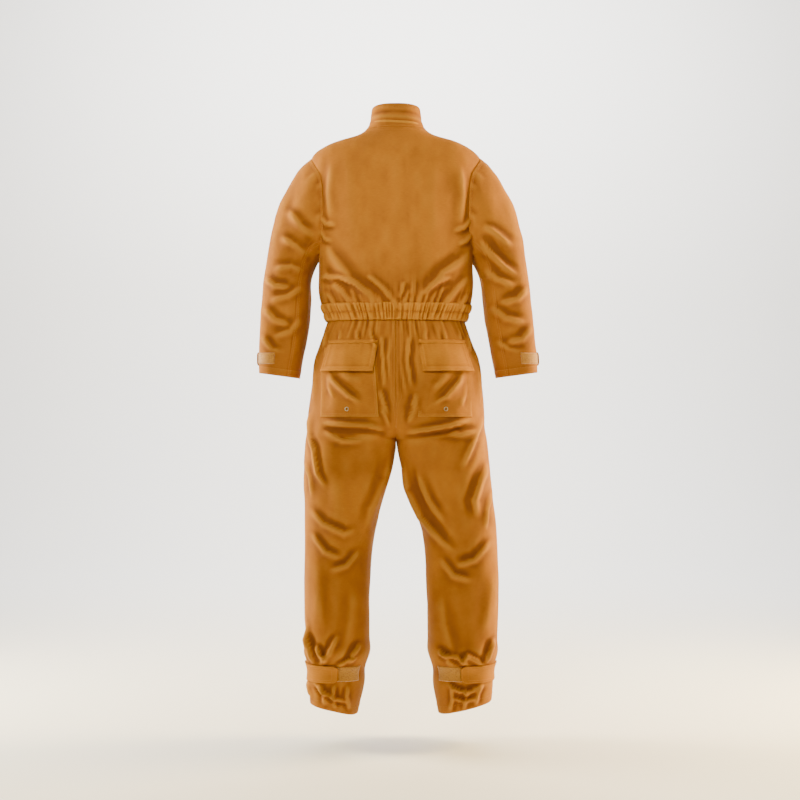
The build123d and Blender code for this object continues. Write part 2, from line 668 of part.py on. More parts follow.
with BuildPart() as zipper_stops:
    with BuildSketch(zip_plane(ROW_BOTTOM_Z, TEETH_LOW)):
        with Locations((0, -STOP_HEIGHT / 2)):
            Rectangle(2 * TOOTH_ROOT, STOP_HEIGHT)
        for side in SIDES:
            with Locations((SIDES[side] * (TOOTH_ROOT + TOOTH_TIP) / 2, ROW_LENGTH + STOP_HEIGHT / 2)):
                Rectangle(TOOTH_ROOT - TOOTH_TIP, STOP_HEIGHT)
    extrude(amount=TEETH_FRONT - TEETH_LOW)
save("zipper_stops", zipper_stops.part)

PLATE_FRONT = CLOTH + GAP
PLATE_BACK = TEETH_LOW - GAP
EAR_THICK = 1.6
EAR_X = PULL_WIDTH / 4 + GAP + EAR_THICK / 2
EYE = PULL_PIN + 1.2  # radius round the pin
PIN_OUT = PLATE_FRONT + SLIDER_THICK + EYE + GAP
NECK = 10.0  # narrow part of the pull, from the pin down
TOP_SLIDER_Z = ZIP_TOP_Z - SLIDER_LENGTH + 2
BOTTOM_SLIDER_Z = ZIP_BOTTOM_Z + SLIDER_LENGTH

for name, z, up in (("top", TOP_SLIDER_Z, 1), ("bottom", BOTTOM_SLIDER_Z, -1)):
    with BuildPart() as slider:
        for out in (PLATE_FRONT, PLATE_BACK - SLIDER_THICK):
            with BuildSketch(zip_plane(z, out)):
                RectangleRounded(SLIDER_WIDTH, SLIDER_LENGTH, 3.0)
            extrude(amount=SLIDER_THICK)
        with BuildSketch(zip_plane(z, PLATE_BACK)):
            with Locations((0, up * SLIDER_LENGTH / 4)):
                Rectangle(SLIDER_WEB, SLIDER_LENGTH / 2 - 1)
        extrude(amount=PLATE_FRONT - PLATE_BACK)
        with BuildSketch(zip_plane(z, PLATE_FRONT + SLIDER_THICK)):
            with GridLocations(2 * EAR_X, 0, 2, 1):
                Rectangle(EAR_THICK, 2 * PULL_PIN + 1.6)
        extrude(amount=PIN_OUT + PULL_PIN - PLATE_FRONT - SLIDER_THICK + 0.6)
        pin_plane = zip_plane(z, PIN_OUT)
        with Locations(pin_plane * Rot(0, 90, 0)):
            Cylinder(PULL_PIN, 2 * EAR_X)
    save(f"{name}_slider", slider.part)

    with BuildPart() as pull:
        with Locations(pin_plane * Rot(0, 90, 0)):
            Cylinder(EYE, PULL_WIDTH / 2)
        with BuildSketch(zip_plane(z, PIN_OUT - TAB_CLOTH / 2)):
            with Locations((0, -NECK / 2)):
                Rectangle(PULL_WIDTH / 2, NECK)
            with Locations((0, -(PULL_LENGTH + NECK) / 2 + 3)):
                RectangleRounded(PULL_WIDTH, PULL_LENGTH - NECK + 6, 3)
        extrude(amount=TAB_CLOTH)
        with Locations(pin_plane * Rot(0, 90, 0)):
            Cylinder(PULL_PIN + PULL_CLEARANCE, PULL_WIDTH, mode=Mode.SUBTRACT)
    save(f"{name}_slider_pull", pull.part)
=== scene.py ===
"""Firefighting coverall, hung by its neck loop: the cloth, trim, hardware, light and camera.

Metres, in the part's own frame: +Z up, the front faces -Y and the wearer's left side is +X. Each tube of cloth
is a function of an angle round it and a height on it, with its folds added along the surface's own normals.
"""
import math

import bpy
import numpy as np
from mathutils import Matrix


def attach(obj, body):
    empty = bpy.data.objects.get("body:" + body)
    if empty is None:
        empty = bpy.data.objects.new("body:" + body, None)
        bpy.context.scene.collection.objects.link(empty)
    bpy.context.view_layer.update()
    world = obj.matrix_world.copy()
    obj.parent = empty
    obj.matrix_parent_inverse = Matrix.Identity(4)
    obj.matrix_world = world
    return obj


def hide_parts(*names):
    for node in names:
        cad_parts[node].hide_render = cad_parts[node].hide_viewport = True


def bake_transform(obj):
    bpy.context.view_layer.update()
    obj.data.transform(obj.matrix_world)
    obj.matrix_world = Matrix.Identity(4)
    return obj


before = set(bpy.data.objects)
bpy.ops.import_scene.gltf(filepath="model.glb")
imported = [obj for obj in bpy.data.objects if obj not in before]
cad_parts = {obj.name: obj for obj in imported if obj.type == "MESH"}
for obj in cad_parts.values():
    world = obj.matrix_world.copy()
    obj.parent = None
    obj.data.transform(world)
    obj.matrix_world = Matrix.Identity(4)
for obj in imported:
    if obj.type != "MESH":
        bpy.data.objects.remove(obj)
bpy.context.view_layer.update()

SIDES = {"left": 1, "right": -1}
MM = 0.001

# Heights of the garment, as the hard parts give them.
WAIST_Z = -0.514
CUFF_Z = -0.658
HEM_Z = -1.542
ZIP_TOP_Z = -0.066
ZIP_BOTTOM_Z = -0.748
CUFF_TAB_Z = -0.612
ANKLE_TAB_Z = -1.442
ELASTIC_Z = -0.492  # middle of the waist's elastic
CUFF_SLANT = math.tan(math.radians(8))  # the cuff is lower on its inner side
HEM_SLANT = math.tan(math.radians(14))  # the hem is higher on its outer side
ZIP_EDGE = 0.0046  # each front's edge from the centre line
SIDE_Y = -0.046
FRONT_LINE_Y = -0.122  # centre front, level with the back neck seam
FRONT_SLOPE = 0.065
CLOTH = 2.0 * MM


# ---------------------------------------------------------------- numbers and curves
def front_line(z):
    """The straight centre front: y runs forward in proportion to the drop below the back neck seam."""
    return FRONT_LINE_Y + FRONT_SLOPE * z


def ease(x):
    """Smoothstep: 3x squared minus 2x cubed, with x held between 0 and 1."""
    x = np.clip(x, 0.0, 1.0)
    return x * x * (3 - 2 * x)


def through(knots, values, x):
    """A cubic through (knot, value) pairs whose slopes are the mean of the slopes on either side."""
    knots, values = np.asarray(knots, float), np.asarray(values, float)
    order = np.argsort(knots)
    knots, values = knots[order], values[order]
    steps = np.diff(values) / np.diff(knots)
    slopes = np.concatenate([steps[:1], (steps[1:] + steps[:-1]) / 2, steps[-1:]])
    x = np.clip(x, knots[0], knots[-1])
    i = np.clip(np.searchsorted(knots, x) - 1, 0, len(knots) - 2)
    h = knots[i + 1] - knots[i]
    t = (x - knots[i]) / h
    return (
        (2 * t**3 - 3 * t**2 + 1) * values[i]
        + (t**3 - 2 * t**2 + t) * h * slopes[i]
        + (3 * t**2 - 2 * t**3) * values[i + 1]
        + (t**3 - t**2) * h * slopes[i + 1]
    )


def full(share, fullness):
    """A cosine or sine raised to a power below 1, keeping its sign, which squares an oval's corners."""
    return np.sign(share) * np.abs(share) ** fullness


def level(table, z, column):
    """One column of a table of level sections (z, ...) at any height."""
    return through([row[0] for row in table], [row[column] for row in table], z)


def value_noise(points, cell, seed):
    """Smooth noise from -1 to 1: random values on a lattice of the cell's size, eased in between."""
    scaled = points / np.asarray(cell) + 1000.0
    base = np.floor(scaled).astype(np.int64)
    part = ease(scaled - base)
    total = np.zeros(points.shape[:-1])
    for corner in range(8):
        step = np.array([corner & 1, corner >> 1 & 1, corner >> 2 & 1])
        node = base + step
        mixed = (node[..., 0] * 73856093) ^ (node[..., 1] * 19349663) ^ (node[..., 2] * 83492791) ^ (seed * 2654435)
        mixed = (mixed ^ (mixed >> 13)) * 1274126177 & 0x7FFFFFFF
        value = mixed / 0x3FFFFFFF - 1.0
        total += value * np.prod(np.where(step == 1, part, 1 - part), axis=-1)
    return total


def crease(x, z, route, width, height, lean=0.0):
    """One fold's height: a bell across a route of (x, z) points that tapers to nothing at both ends.

    lean, from -1 to 1, narrows the flank on one hand of the route, and a shallow valley runs beside the
    narrow flank, as in cloth that is pushed over itself.
    """
    lengths = np.linalg.norm(np.diff(route, axis=0), axis=1)
    total, done = lengths.sum(), 0.0
    nearest = np.full(x.shape, 1e9)
    signed, share = np.zeros(x.shape), np.zeros(x.shape)
    for start, stop, length in zip(route[:-1], route[1:], lengths):
        dx, dz = (stop - start) / length
        along = np.clip((x - start[0]) * dx + (z - start[1]) * dz, 0, length)
        off_x, off_z = x - start[0] - along * dx, z - start[1] - along * dz
        distance = np.hypot(off_x, off_z)
        closer = distance < nearest
        nearest = np.where(closer, distance, nearest)
        signed = np.where(closer, np.sign(dx * off_z - dz * off_x) * distance, signed)
        share = np.where(closer, (done + along) / total, share)
        done += length
    taper = ease(share / 0.3) * ease((1 - share) / 0.35)
    flank = np.where(signed * lean > 0, width * (1 - 0.6 * abs(lean)), width)
    bell = np.exp(-((signed / flank) ** 2))
    valley = np.exp(-(((signed - np.sign(lean + 1e-9) * 1.5 * width) / (0.8 * width)) ** 2))
    return height * taper * (bell - 0.45 * abs(lean) * valley)


def folds(x, z, facing, strokes):
    """The sum of many creases, each only on the side of the garment that it names (1 back, -1 front).

    A crease is its side, width, height and lean, then x and z from point to point of its route, in millimetres.
    """
    total = np.zeros(x.shape)
    for side, width, height, lean, *route in strokes:
        seen = ease((side * facing + 0.15) / 0.35)
        total += seen * crease(x, z, np.reshape(route, (-1, 2)) * MM, width * MM, height * MM, lean)
    return total


# ---------------------------------------------------------------- meshes
def normals_of(points, weld=None):
    """Unit normals of a grid: the cross product of its two differences, shared where the last column is the first."""
    along_u = np.gradient(points, axis=0)
    along_v = np.gradient(points, axis=1)
    if weld is not None:
        wrapped = (points[1] - points[-2]) / 2
        along_u[0, weld] = wrapped[weld]
        along_u[-1, weld] = wrapped[weld]
    cross = np.cross(along_u, along_v)
    return cross / np.maximum(np.linalg.norm(cross, axis=-1, keepdims=True), 1e-12)


def lengths_uv(points):
    """UVs in metres: u is the distance round the rows, on average, and v the distance up each column."""
    around = np.linalg.norm(np.diff(points, axis=0), axis=-1)
    up = np.linalg.norm(np.diff(points, axis=1), axis=-1)
    u = np.concatenate([[0], np.cumsum(around.mean(axis=1))])
    v = np.concatenate([np.zeros((points.shape[0], 1)), np.cumsum(up, axis=1)], axis=1)
    return np.stack([np.broadcast_to(u[:, None], v.shape), v], axis=-1)


def sheet_object(name, points, material, wall=0.0, weld=None, keep=None, tone=None):
    """A sheet from a grid of points (columns, rows, 3), counted so that the faces look outwards.

    weld says in which rows the last column is the first one again, keep says which faces stay, and tone is a
    number from -1 in the hollows to 1 on the crests, which the cloth's colour follows: painted shade in the
    hollows and paler wear on the crests.
    """
    columns, rows = points.shape[:2]
    index = np.arange(columns * rows).reshape(columns, rows)
    vertex = index.copy()
    if weld is not None:
        vertex[-1, weld] = vertex[0, weld]
    corners = [(slice(None, -1), slice(None, -1)), (slice(1, None), slice(None, -1)),
               (slice(1, None), slice(1, None)), (slice(None, -1), slice(1, None))]
    quads = np.stack([vertex[a, b] for a, b in corners], axis=-1).reshape(-1, 4)
    loops = np.stack([index[a, b] for a, b in corners], axis=-1).reshape(-1, 4)
    if keep is not None:
        quads, loops = quads[keep.ravel()], loops[keep.ravel()]
    used, quads = np.unique(quads, return_inverse=True)
    mesh = bpy.data.meshes.new(name)
    mesh.from_pydata(points.reshape(-1, 3)[used], [], quads.reshape(-1, 4))
    layer = mesh.uv_layers.new(name="cloth")
    layer.data.foreach_set("uv", lengths_uv(points).reshape(-1, 2)[loops.ravel()].astype(np.float32).ravel())
    crest = np.zeros(columns * rows) if tone is None else tone.ravel()
    # crest drives painted shade in the cloth's hollows and paler wear on its crests
    mesh.attributes.new("crest", "FLOAT", "POINT").data.foreach_set("value", crest[used].astype(np.float32))
    mesh.shade_smooth()
    mesh.materials.append(material)
    piece = bpy.data.objects.new(name, mesh)
    bpy.context.scene.collection.objects.link(piece)
    if wall:
        solid = piece.modifiers.new("wall", "SOLIDIFY")
        solid.thickness, solid.offset = wall, -1.0
    return piece


def beads_object(name, parts, material):
    """One object from small meshes given as (vertices, faces), all with faces of one size."""
    vertices, faces, start = [], [], 0
    for some_vertices, some_faces in parts:
        vertices.append(some_vertices)
        faces.append(some_faces + start)
        start += len(some_vertices)
    mesh = bpy.data.meshes.new(name)
    mesh.from_pydata(np.concatenate(vertices), [], np.concatenate(faces))
    mesh.shade_smooth()
    mesh.materials.append(material)
    piece = bpy.data.objects.new(name, mesh)
    bpy.context.scene.collection.objects.link(piece)
    return piece


def crests(heights):
    """Where a field of heights on a grid stands above its own surroundings: it, less its mean over a window; the twill
    paints shade where it is below 0.
    """
    blurred = heights.copy()
    for _ in range(6):
        blurred[1:-1] = (blurred[:-2] + 2 * blurred[1:-1] + blurred[2:]) / 4
        blurred[:, 1:-1] = (blurred[:, :-2] + 2 * blurred[:, 1:-1] + blurred[:, 2:]) / 4
    return np.clip((heights - blurred) / 0.0010, -1, 1)


def at(grid, i, j):
    """Values of a grid at fractional column and row numbers, from the four nearest."""
    i = np.clip(i, 0, grid.shape[0] - 1.001)
    j = np.clip(j, 0, grid.shape[1] - 1.001)
    a, b = i.astype(int), j.astype(int)
    s, t = (i - a)[:, None], (j - b)[:, None]
    lower, upper = grid[a, b] * (1 - s) + grid[a + 1, b] * s, grid[a, b + 1] * (1 - s) + grid[a + 1, b + 1] * s
    return lower * (1 - t) + upper * t


STITCH = np.array([[-0.5, 0, 0], [0, -0.5, 0.1], [0, 0, 1], [0, 0.5, 0.1], [0.5, 0, 0], [0, 0, -0.5]])
STITCH_FACES = np.array([[0, 1, 2], [0, 2, 3], [4, 2, 1], [4, 3, 2], [0, 5, 1], [0, 3, 5], [4, 1, 5], [4, 5, 3]])


def stitches(points, normals, i, j, pitch=4.2 * MM, long=3.1 * MM, wide=1.1 * MM, high=0.55 * MM):
    """A row of thread stitches on a sheet along a path of column and row numbers.

    Each is a lozenge along the path, as long as one pitch less the gap where the thread dives. The pitch is
    coarser than the real 2.5 mm so that the stitches show.
    """
    i, j = np.broadcast_arrays(np.asarray(i, float), np.asarray(j, float))
    path, up = at(points, i, j), at(normals, i, j)
    run = np.concatenate([[0], np.cumsum(np.linalg.norm(np.diff(path, axis=0), axis=1))])
    count = max(int(run[-1] / pitch), 2)
    stops = (np.arange(count) + 0.5) * run[-1] / count
    middle = np.stack([np.interp(stops, run, path[:, k]) for k in range(3)], axis=-1)
    up = np.stack([np.interp(stops, run, up[:, k]) for k in range(3)], axis=-1)
    ahead = np.gradient(middle, axis=0)
    ahead /= np.maximum(np.linalg.norm(ahead, axis=1, keepdims=True), 1e-12)
    across = np.cross(up, ahead)
    shape = STITCH * [long, wide, high]
    vertices = (
        middle[:, None]
        + ahead[:, None] * shape[None, :, :1]
        + across[:, None] * shape[None, :, 1:2]
        + up[:, None] * shape[None, :, 2:]
    )
    faces = STITCH_FACES[None] + 6 * np.arange(count)[:, None, None]
    return vertices.reshape(-1, 3), faces.reshape(-1, 3)


def mirrored(side, grid):
    """A left-hand grid of points for that side: the right one is turned over and counted backwards."""
    return grid if side == "left" else (grid * [-1, 1, 1])[::-1]


def counted(side, values):
    """A left-hand grid of values for that side: the right one is counted backwards, as its points are."""
    return values if side == "left" else values[::-1]


def on_side(side, made):
    """Stitch rows of the left side, turned over for the right one."""
    return made if side == "left" else [(v * [-1, 1, 1], f[:, ::-1]) for v, f in made]


# ---------------------------------------------------------------- sections of the cloth
# Level sections of the body, from the collar to below the waist: height, half width, y of the back.
BODY = [
    (0.096, 0.0672, -0.001), (0.0, 0.080, 0.009), (-0.0164, 0.1056, 0.017), (-0.035, 0.1627, 0.026),
    (-0.0668, 0.217, 0.041), (-0.1336, 0.2226, 0.0596), (-0.205, 0.2215, 0.070), (-0.298, 0.207, 0.0756),
    (-0.380, 0.2045, 0.0740), (-0.4318, 0.2035, 0.0696), (-0.478, 0.192, 0.0516), (-0.514, 0.181, 0.0416),
    (-0.554, 0.1846, 0.0496),
]
# Level sections of one half of the trousers: height, outer x, inner x, y of the front, y of the back.
TROUSERS = {
    "left": [
        (-0.514, 0.181, 0.0, -0.1554, 0.0416), (-0.580, 0.2038, 0.0, -0.1597, 0.0596),
        (-0.679, 0.2252, 0.0, -0.1661, 0.0691), (-0.802, 0.2365, 0.0, -0.172, 0.0671),
        (-0.826, 0.2390, 0.0012, -0.167, 0.0650), (-0.887, 0.2430, 0.0118, -0.1607, 0.0633),
        (-1.091, 0.2430, 0.0621, -0.141, 0.051), (-1.250, 0.2440, 0.0740, -0.134, 0.050),
        (-1.396, 0.2400, 0.0770, -0.1275, 0.0485), (-1.480, 0.2335, 0.0860, -0.117, 0.041),
        (-1.560, 0.2240, 0.1050, -0.103, 0.029),
    ],
    "right": [
        (-0.514, 0.181, 0.0, -0.1554, 0.0416), (-0.580, 0.2038, 0.0, -0.1597, 0.0596),
        (-0.679, 0.2252, 0.0, -0.1661, 0.0691), (-0.802, 0.2365, 0.0, -0.172, 0.0671),
        (-0.826, 0.2410, 0.0012, -0.167, 0.0650), (-0.887, 0.2480, 0.0118, -0.1607, 0.0633),
        (-1.091, 0.2680, 0.0739, -0.141, 0.051), (-1.250, 0.2720, 0.0850, -0.134, 0.050),
        (-1.396, 0.2660, 0.0910, -0.1275, 0.0485), (-1.480, 0.2590, 0.1010, -0.117, 0.041),
        (-1.560, 0.2500, 0.1185, -0.103, 0.029),
    ],
}
# Level sections of a sleeve below the armhole: height, outer x, inner x, half depth, y of the middle.
SLEEVE = {
    "left": [
        (-0.320, 0.336, 0.200, 0.084, -0.047), (-0.368, 0.3475, 0.218, 0.079, -0.050),
        (-0.400, 0.3535, 0.2290, 0.0765, -0.0525), (-0.4586, 0.3585, 0.2340, 0.073, -0.0585),
        (-0.511, 0.3630, 0.2375, 0.069, -0.0625), (-0.577, 0.3670, 0.2470, 0.062, -0.067),
        (-0.630, 0.3675, 0.2570, 0.0565, -0.0715), (-0.680, 0.3650, 0.2660, 0.053, -0.075),
    ],
    "right": [
        (-0.320, 0.336, 0.200, 0.084, -0.047), (-0.368, 0.3475, 0.218, 0.079, -0.050),
        (-0.400, 0.3540, 0.2300, 0.0765, -0.0525), (-0.4586, 0.3620, 0.2375, 0.073, -0.0585),
        (-0.511, 0.3690, 0.2430, 0.069, -0.0625), (-0.577, 0.3760, 0.2540, 0.062, -0.067),
        (-0.630, 0.3790, 0.2650, 0.0565, -0.0715), (-0.680, 0.3780, 0.2760, 0.053, -0.075),
    ],
}
SQUARE = 0.75  # 1 gives ovals, less gives fuller corners
SPLIT_TOP_Z = -0.700  # where the two halves of the trousers start to turn in towards each other
SPLIT_Z = -0.826  # where each half closes into a leg


def body_point(turn, z, out=0.0):
    """The body at an angle and a height: a squared oval between the straight front and the back's curve.

    The front is flattened across the zip, by a bell of 70 mm that carries it to the straight front line.
    """
    half = level(BODY, z, 1) + out
    front, back = front_line(z) - out, level(BODY, z, 2) + out
    x = half * full(np.cos(turn), SQUARE)
    y = (front + back) / 2 + (back - front) / 2 * full(np.sin(turn), SQUARE)
    flat = np.exp(-((x / 0.07) ** 4)) * (np.sin(turn) < 0)
    return np.stack([x, y + (front - y) * flat, z + 0 * x], axis=-1)


def body_side(y, z):
    """x of the body's left side at a depth and a height, from the same oval."""
    front, back = front_line(z), level(BODY, z, 2)
    sine = np.clip(np.abs(y - (front + back) / 2) / ((back - front) / 2), 0, 0.999) ** (1 / SQUARE)
    return level(BODY, z, 1) * (1 - sine**2) ** (SQUARE / 2)


def half_section(side, z):
    """Centre, half width and share of the split for one half of the trousers at a height.

    The split goes from 0, where the section is half of one oval, to 1, where it is a closed oval; the centre
    moves out from the middle so that the outer edge stays where it is.
    """
    table = TROUSERS[side]
    outer, inner = level(table, z, 1), np.where(z < SPLIT_Z, level(table, z, 2), 0.0)
    split = np.clip((SPLIT_TOP_Z - z) / (SPLIT_TOP_Z - SPLIT_Z), 0, 1)
    split = np.where(z < SPLIT_Z, 1.0, ease(split) * 0.5 + split**2 * 0.5)
    half = np.where(z < SPLIT_Z, (outer - inner) / 2, outer / (1 + split))
    return outer - half, half, split


def trouser_point(side, share, z, out=0.0):
    """One half of the trousers, share from -1 (inner front) over 0 (outer side) to 1 (inner back)."""
    table = TROUSERS[side]
    centre, half, split = half_section(side, z)
    edge = math.pi - np.arccos(np.clip(split ** (1 / SQUARE), 0, 1))
    turn = share * edge
    front, back = level(table, z, 3) - out, level(table, z, 4) + out
    x = centre + (half + out) * full(np.cos(turn), SQUARE)
    y = (front + back) / 2 + (back - front) / 2 * full(np.sin(turn), SQUARE)
    flat = np.exp(-((x / 0.06) ** 4)) * (np.sin(turn) < 0) * (z > SPLIT_TOP_Z - 0.02)
    return np.stack([np.maximum(x, 0.0), y + (front - y) * flat, z + 0 * x], axis=-1)


def sleeve_point(side, turn, z, out=0.0):
    """A sleeve below the armhole: a squared oval at each height."""
    table = SLEEVE[side]
    outer, inner = level(table, z, 1) + out, level(table, z, 2) - out
    x = (outer + inner) / 2 + (outer - inner) / 2 * full(np.cos(turn), SQUARE)
    y = level(table, z, 4) + (level(table, z, 3) + out) * full(np.sin(turn), SQUARE)
    return np.stack([x, y, z + 0 * x], axis=-1)


ARMHOLE = (-0.046, -0.210, 0.078, 0.132)  # middle y and z, half depth and half height
SLEEVE_HEAD_Z = -0.400  # where the sleeve head meets the level sections


def sleeve_head(side, turn, share):
    """From the armhole, share 0, to the level section, share 1: a cubic whose ends leave both smoothly."""
    mid_y, mid_z, deep, tall = ARMHOLE
    y = mid_y + deep * full(np.sin(turn), 0.9)
    z = mid_z + tall * full(np.cos(turn), 0.9)
    hole = np.stack([body_side(y, z) - 0.002, y, z], axis=-1)
    ring = sleeve_point(side, turn, SLEEVE_HEAD_Z + 0 * turn)
    top = (np.clip(np.cos(turn), 0, 1) ** 2)[..., None]
    low = (np.clip(-np.cos(turn), 0, 1) ** 2)[..., None]
    flank = 1 - top - low
    swell = 0.05 * np.sign(np.sin(turn))[..., None] * np.array([0, 1, 0])
    leave = top * np.array([0.27, 0, -0.18]) + low * np.array([0.03, 0, -0.05])
    leave = leave + flank * (np.array([0.18, 0, -0.07]) + swell)
    arrive = top * np.array([0.05, 0, -0.33]) + low * np.array([0.012, 0, -0.06]) + flank * np.array([0.02, 0, -0.22])
    t = share[..., None]
    return (
        (2 * t**3 - 3 * t**2 + 1) * hole
        + (t**3 - 2 * t**2 + t) * leave
        + (3 * t**2 - 2 * t**3) * ring
        + (t**3 - t**2) * arrive
    )


# ---------------------------------------------------------------- materials
def linear(colour):
    """A hex sRGB colour as the linear values that a shader wants."""
    parts = [int(colour[k : k + 2], 16) / 255 for k in (1, 3, 5)]
    return tuple(p / 12.92 if p <= 0.04045 else ((p + 0.055) / 1.055) ** 2.4 for p in parts) + (1.0,)


def add(tree, kind, settings=None, **inputs):
    """Adds one node with its settings, and links or sets its inputs by name (spaces as _) or by number (as n0)."""
    node = tree.nodes.new(kind)
    for key, value in (settings or {}).items():
        setattr(node, key, value)
    for key, value in inputs.items():
        socket = node.inputs[int(key[1:])] if key[1:].isdigit() else node.inputs[key.replace("_", " ")]
        if isinstance(value, bpy.types.NodeSocket):
            tree.links.new(value, socket)
        else:
            socket.default_value = value
    return node


def begin(name):
    """A new material's name, tree and the shader at its end."""
    material = bpy.data.materials.new(name)
    material.use_nodes = True
    tree = material.node_tree
    tree.nodes.clear()
    shader = add(tree, "ShaderNodeBsdfPrincipled")
    out = add(tree, "ShaderNodeOutputMaterial")
    tree.links.new(shader.outputs[0], out.inputs[0])
    return material, tree, shader


def ramp(tree, value, low, high, start=0.0, stop=1.0):
    """A colour between two as a value goes from start to stop."""
    node = add(tree, "ShaderNodeValToRGB", n0=value)
    node.color_ramp.elements[0].position, node.color_ramp.elements[1].position = start, stop
    node.color_ramp.elements[0].color, node.color_ramp.elements[1].color = low, high
    return node.outputs[0]


TWILL_MM = 1.9  # drawn pitch of the twill lines; the real 0.6 would not show


def twill(name, body, shade, crest, roughness=0.9, sheen=0.12):
    """Aramid twill, piece dyed: matt, with diagonal lines, a dry sheen at glancing angles, paler worn crests and
    painted shade darkening the hollows of its folds.
    """
    material, tree, shader = begin(name)
    uv = add(tree, "ShaderNodeUVMap", {"uv_map": "cloth"}).outputs[0]
    place = add(tree, "ShaderNodeTexCoord").outputs["Object"]
    turned = add(tree, "ShaderNodeMapping", Vector=uv, Rotation=(0, 0, math.radians(58))).outputs[0]
    lines = add(tree, "ShaderNodeTexWave", {"bands_direction": "X"}, Vector=turned, Distortion=0.7, Detail=1.0,
                Detail_Scale=2.0, Scale=math.pi / (10 * TWILL_MM * MM)).outputs["Fac"]
    yarn = add(tree, "ShaderNodeTexNoise", Vector=uv, Scale=900.0, Detail=2.0).outputs["Fac"]
    cross = add(tree, "ShaderNodeMapping", Vector=uv, Scale=(90, 700, 1)).outputs[0]
    slub = add(tree, "ShaderNodeTexNoise", Vector=cross, Scale=1.0, Detail=2.0).outputs["Fac"]
    cloud = add(tree, "ShaderNodeTexNoise", Vector=place, Scale=7.0, Detail=4.0, Roughness=0.6).outputs["Fac"]
    base = ramp(tree, cloud, linear(shade), linear(body), 0.28, 0.62)
    speck = ramp(tree, slub, (0.86, 0.86, 0.86, 1), (1.1, 1.1, 1.1, 1), 0.3, 0.7)
    darker = {"data_type": "RGBA", "blend_type": "MULTIPLY"}
    base = add(tree, "ShaderNodeMix", darker, n0=0.8, n6=base, n7=speck).outputs[2]
    rib = ramp(tree, lines, (0.84, 0.84, 0.84, 1), (1.08, 1.08, 1.08, 1), 0.1, 0.8)
    base = add(tree, "ShaderNodeMix", darker, n0=0.7, n6=base, n7=rib).outputs[2]
    raised = add(tree, "ShaderNodeAttribute", {"attribute_name": "crest"}).outputs["Fac"]
    worn = add(tree, "ShaderNodeMath", {"operation": "MULTIPLY", "use_clamp": True}, n0=raised, n1=0.24).outputs[0]
    # Painted shade: where the crest attribute falls below 0, in the hollows of folds and beside seams, the colour
    # darkens toward deep brown (#5a2804); the crests pale as wear.
    crease_shade = add(tree, "ShaderNodeMath", {"operation": "MULTIPLY", "use_clamp": True}, n0=raised, n1=-0.62).outputs[0]
    base = add(tree, "ShaderNodeMix", {"data_type": "RGBA"}, n0=worn, n6=base, n7=linear(crest)).outputs[2]
    base = add(tree, "ShaderNodeMix", {"data_type": "RGBA"}, n0=crease_shade, n6=base, n7=linear("#5a2804")).outputs[2]
    tree.links.new(base, shader.inputs["Base Color"])
    shader.inputs["Roughness"].default_value = roughness
    shader.inputs["Sheen Weight"].default_value = sheen
    shader.inputs["Sheen Roughness"].default_value = 0.45
    shader.inputs["Sheen Tint"].default_value = linear("#f0b040")
    shader.inputs["Specular IOR Level"].default_value = 0.32
    weave = add(tree, "ShaderNodeBump", Height=lines, Distance=0.35 * MM, Strength=0.55)
    fuzz = add(tree, "ShaderNodeBump", Height=yarn, Distance=0.3 * MM, Strength=0.35, Normal=weave.outputs[0])
    crumple = add(tree, "ShaderNodeTexNoise", Vector=place, Scale=38.0, Detail=5.0, Roughness=0.55).outputs["Fac"]
    cockle = add(tree, "ShaderNodeBump", Height=crumple, Distance=2.2 * MM, Strength=0.5, Normal=fuzz.outputs[0])
    tree.links.new(cockle.outputs[0], shader.inputs["Normal"])
    return material


def pile(name, body, shade):
    """Loop side of hook-and-loop, knitted nylon brushed up: a matt mat of fine loops."""
    material, tree, shader = begin(name)
    uv = add(tree, "ShaderNodeUVMap", {"uv_map": "cloth"}).outputs[0]
    loops = add(tree, "ShaderNodeTexVoronoi", Vector=uv, Scale=620.0).outputs["Distance"]
    tree.links.new(ramp(tree, loops, linear(body), linear(shade), 0.1, 0.8), shader.inputs["Base Color"])
    shader.inputs["Roughness"].default_value = 0.95
    shader.inputs["Sheen Weight"].default_value = 0.5
    bump = add(tree, "ShaderNodeBump", Height=loops, Distance=0.9 * MM, Strength=0.9)
    tree.links.new(bump.outputs[0], shader.inputs["Normal"])
    return material


def webbing(name, body, shade, rib_mm):
    """A narrow woven tape: ribs across it, every rib_mm, a little shinier than the cloth."""
    material, tree, shader = begin(name)
    uv = add(tree, "ShaderNodeUVMap", {"uv_map": "cloth"}).outputs[0]
    scale = math.pi / (10 * rib_mm * MM)
    ribs = add(tree, "ShaderNodeTexWave", {"bands_direction": "Y"}, Vector=uv, Scale=scale).outputs["Fac"]
    tree.links.new(ramp(tree, ribs, linear(shade), linear(body), 0.2, 0.8), shader.inputs["Base Color"])
    shader.inputs["Roughness"].default_value = 0.7
    bump = add(tree, "ShaderNodeBump", Height=ribs, Distance=0.4 * MM, Strength=0.7)
    tree.links.new(bump.outputs[0], shader.inputs["Normal"])
    return material


def brass(name, body, tarnish, roughness):
    """Stamped brass with a brown tarnish in patches: duller and darker where it is tarnished."""
    material, tree, shader = begin(name)
    place = add(tree, "ShaderNodeTexCoord").outputs["Object"]
    patch = add(tree, "ShaderNodeTexNoise", Vector=place, Scale=420.0, Detail=3.0).outputs["Fac"]
    tree.links.new(ramp(tree, patch, linear(tarnish), linear(body), 0.3, 0.6), shader.inputs["Base Color"])
    shader.inputs["Metallic"].default_value = 1.0
    rough = add(tree, "ShaderNodeMapRange", n0=patch, n3=roughness + 0.2, n4=roughness).outputs[0]
    tree.links.new(rough, shader.inputs["Roughness"])
    bump = add(tree, "ShaderNodeBump", Height=patch, Distance=0.1 * MM, Strength=0.3)
    tree.links.new(bump.outputs[0], shader.inputs["Normal"])
    return material


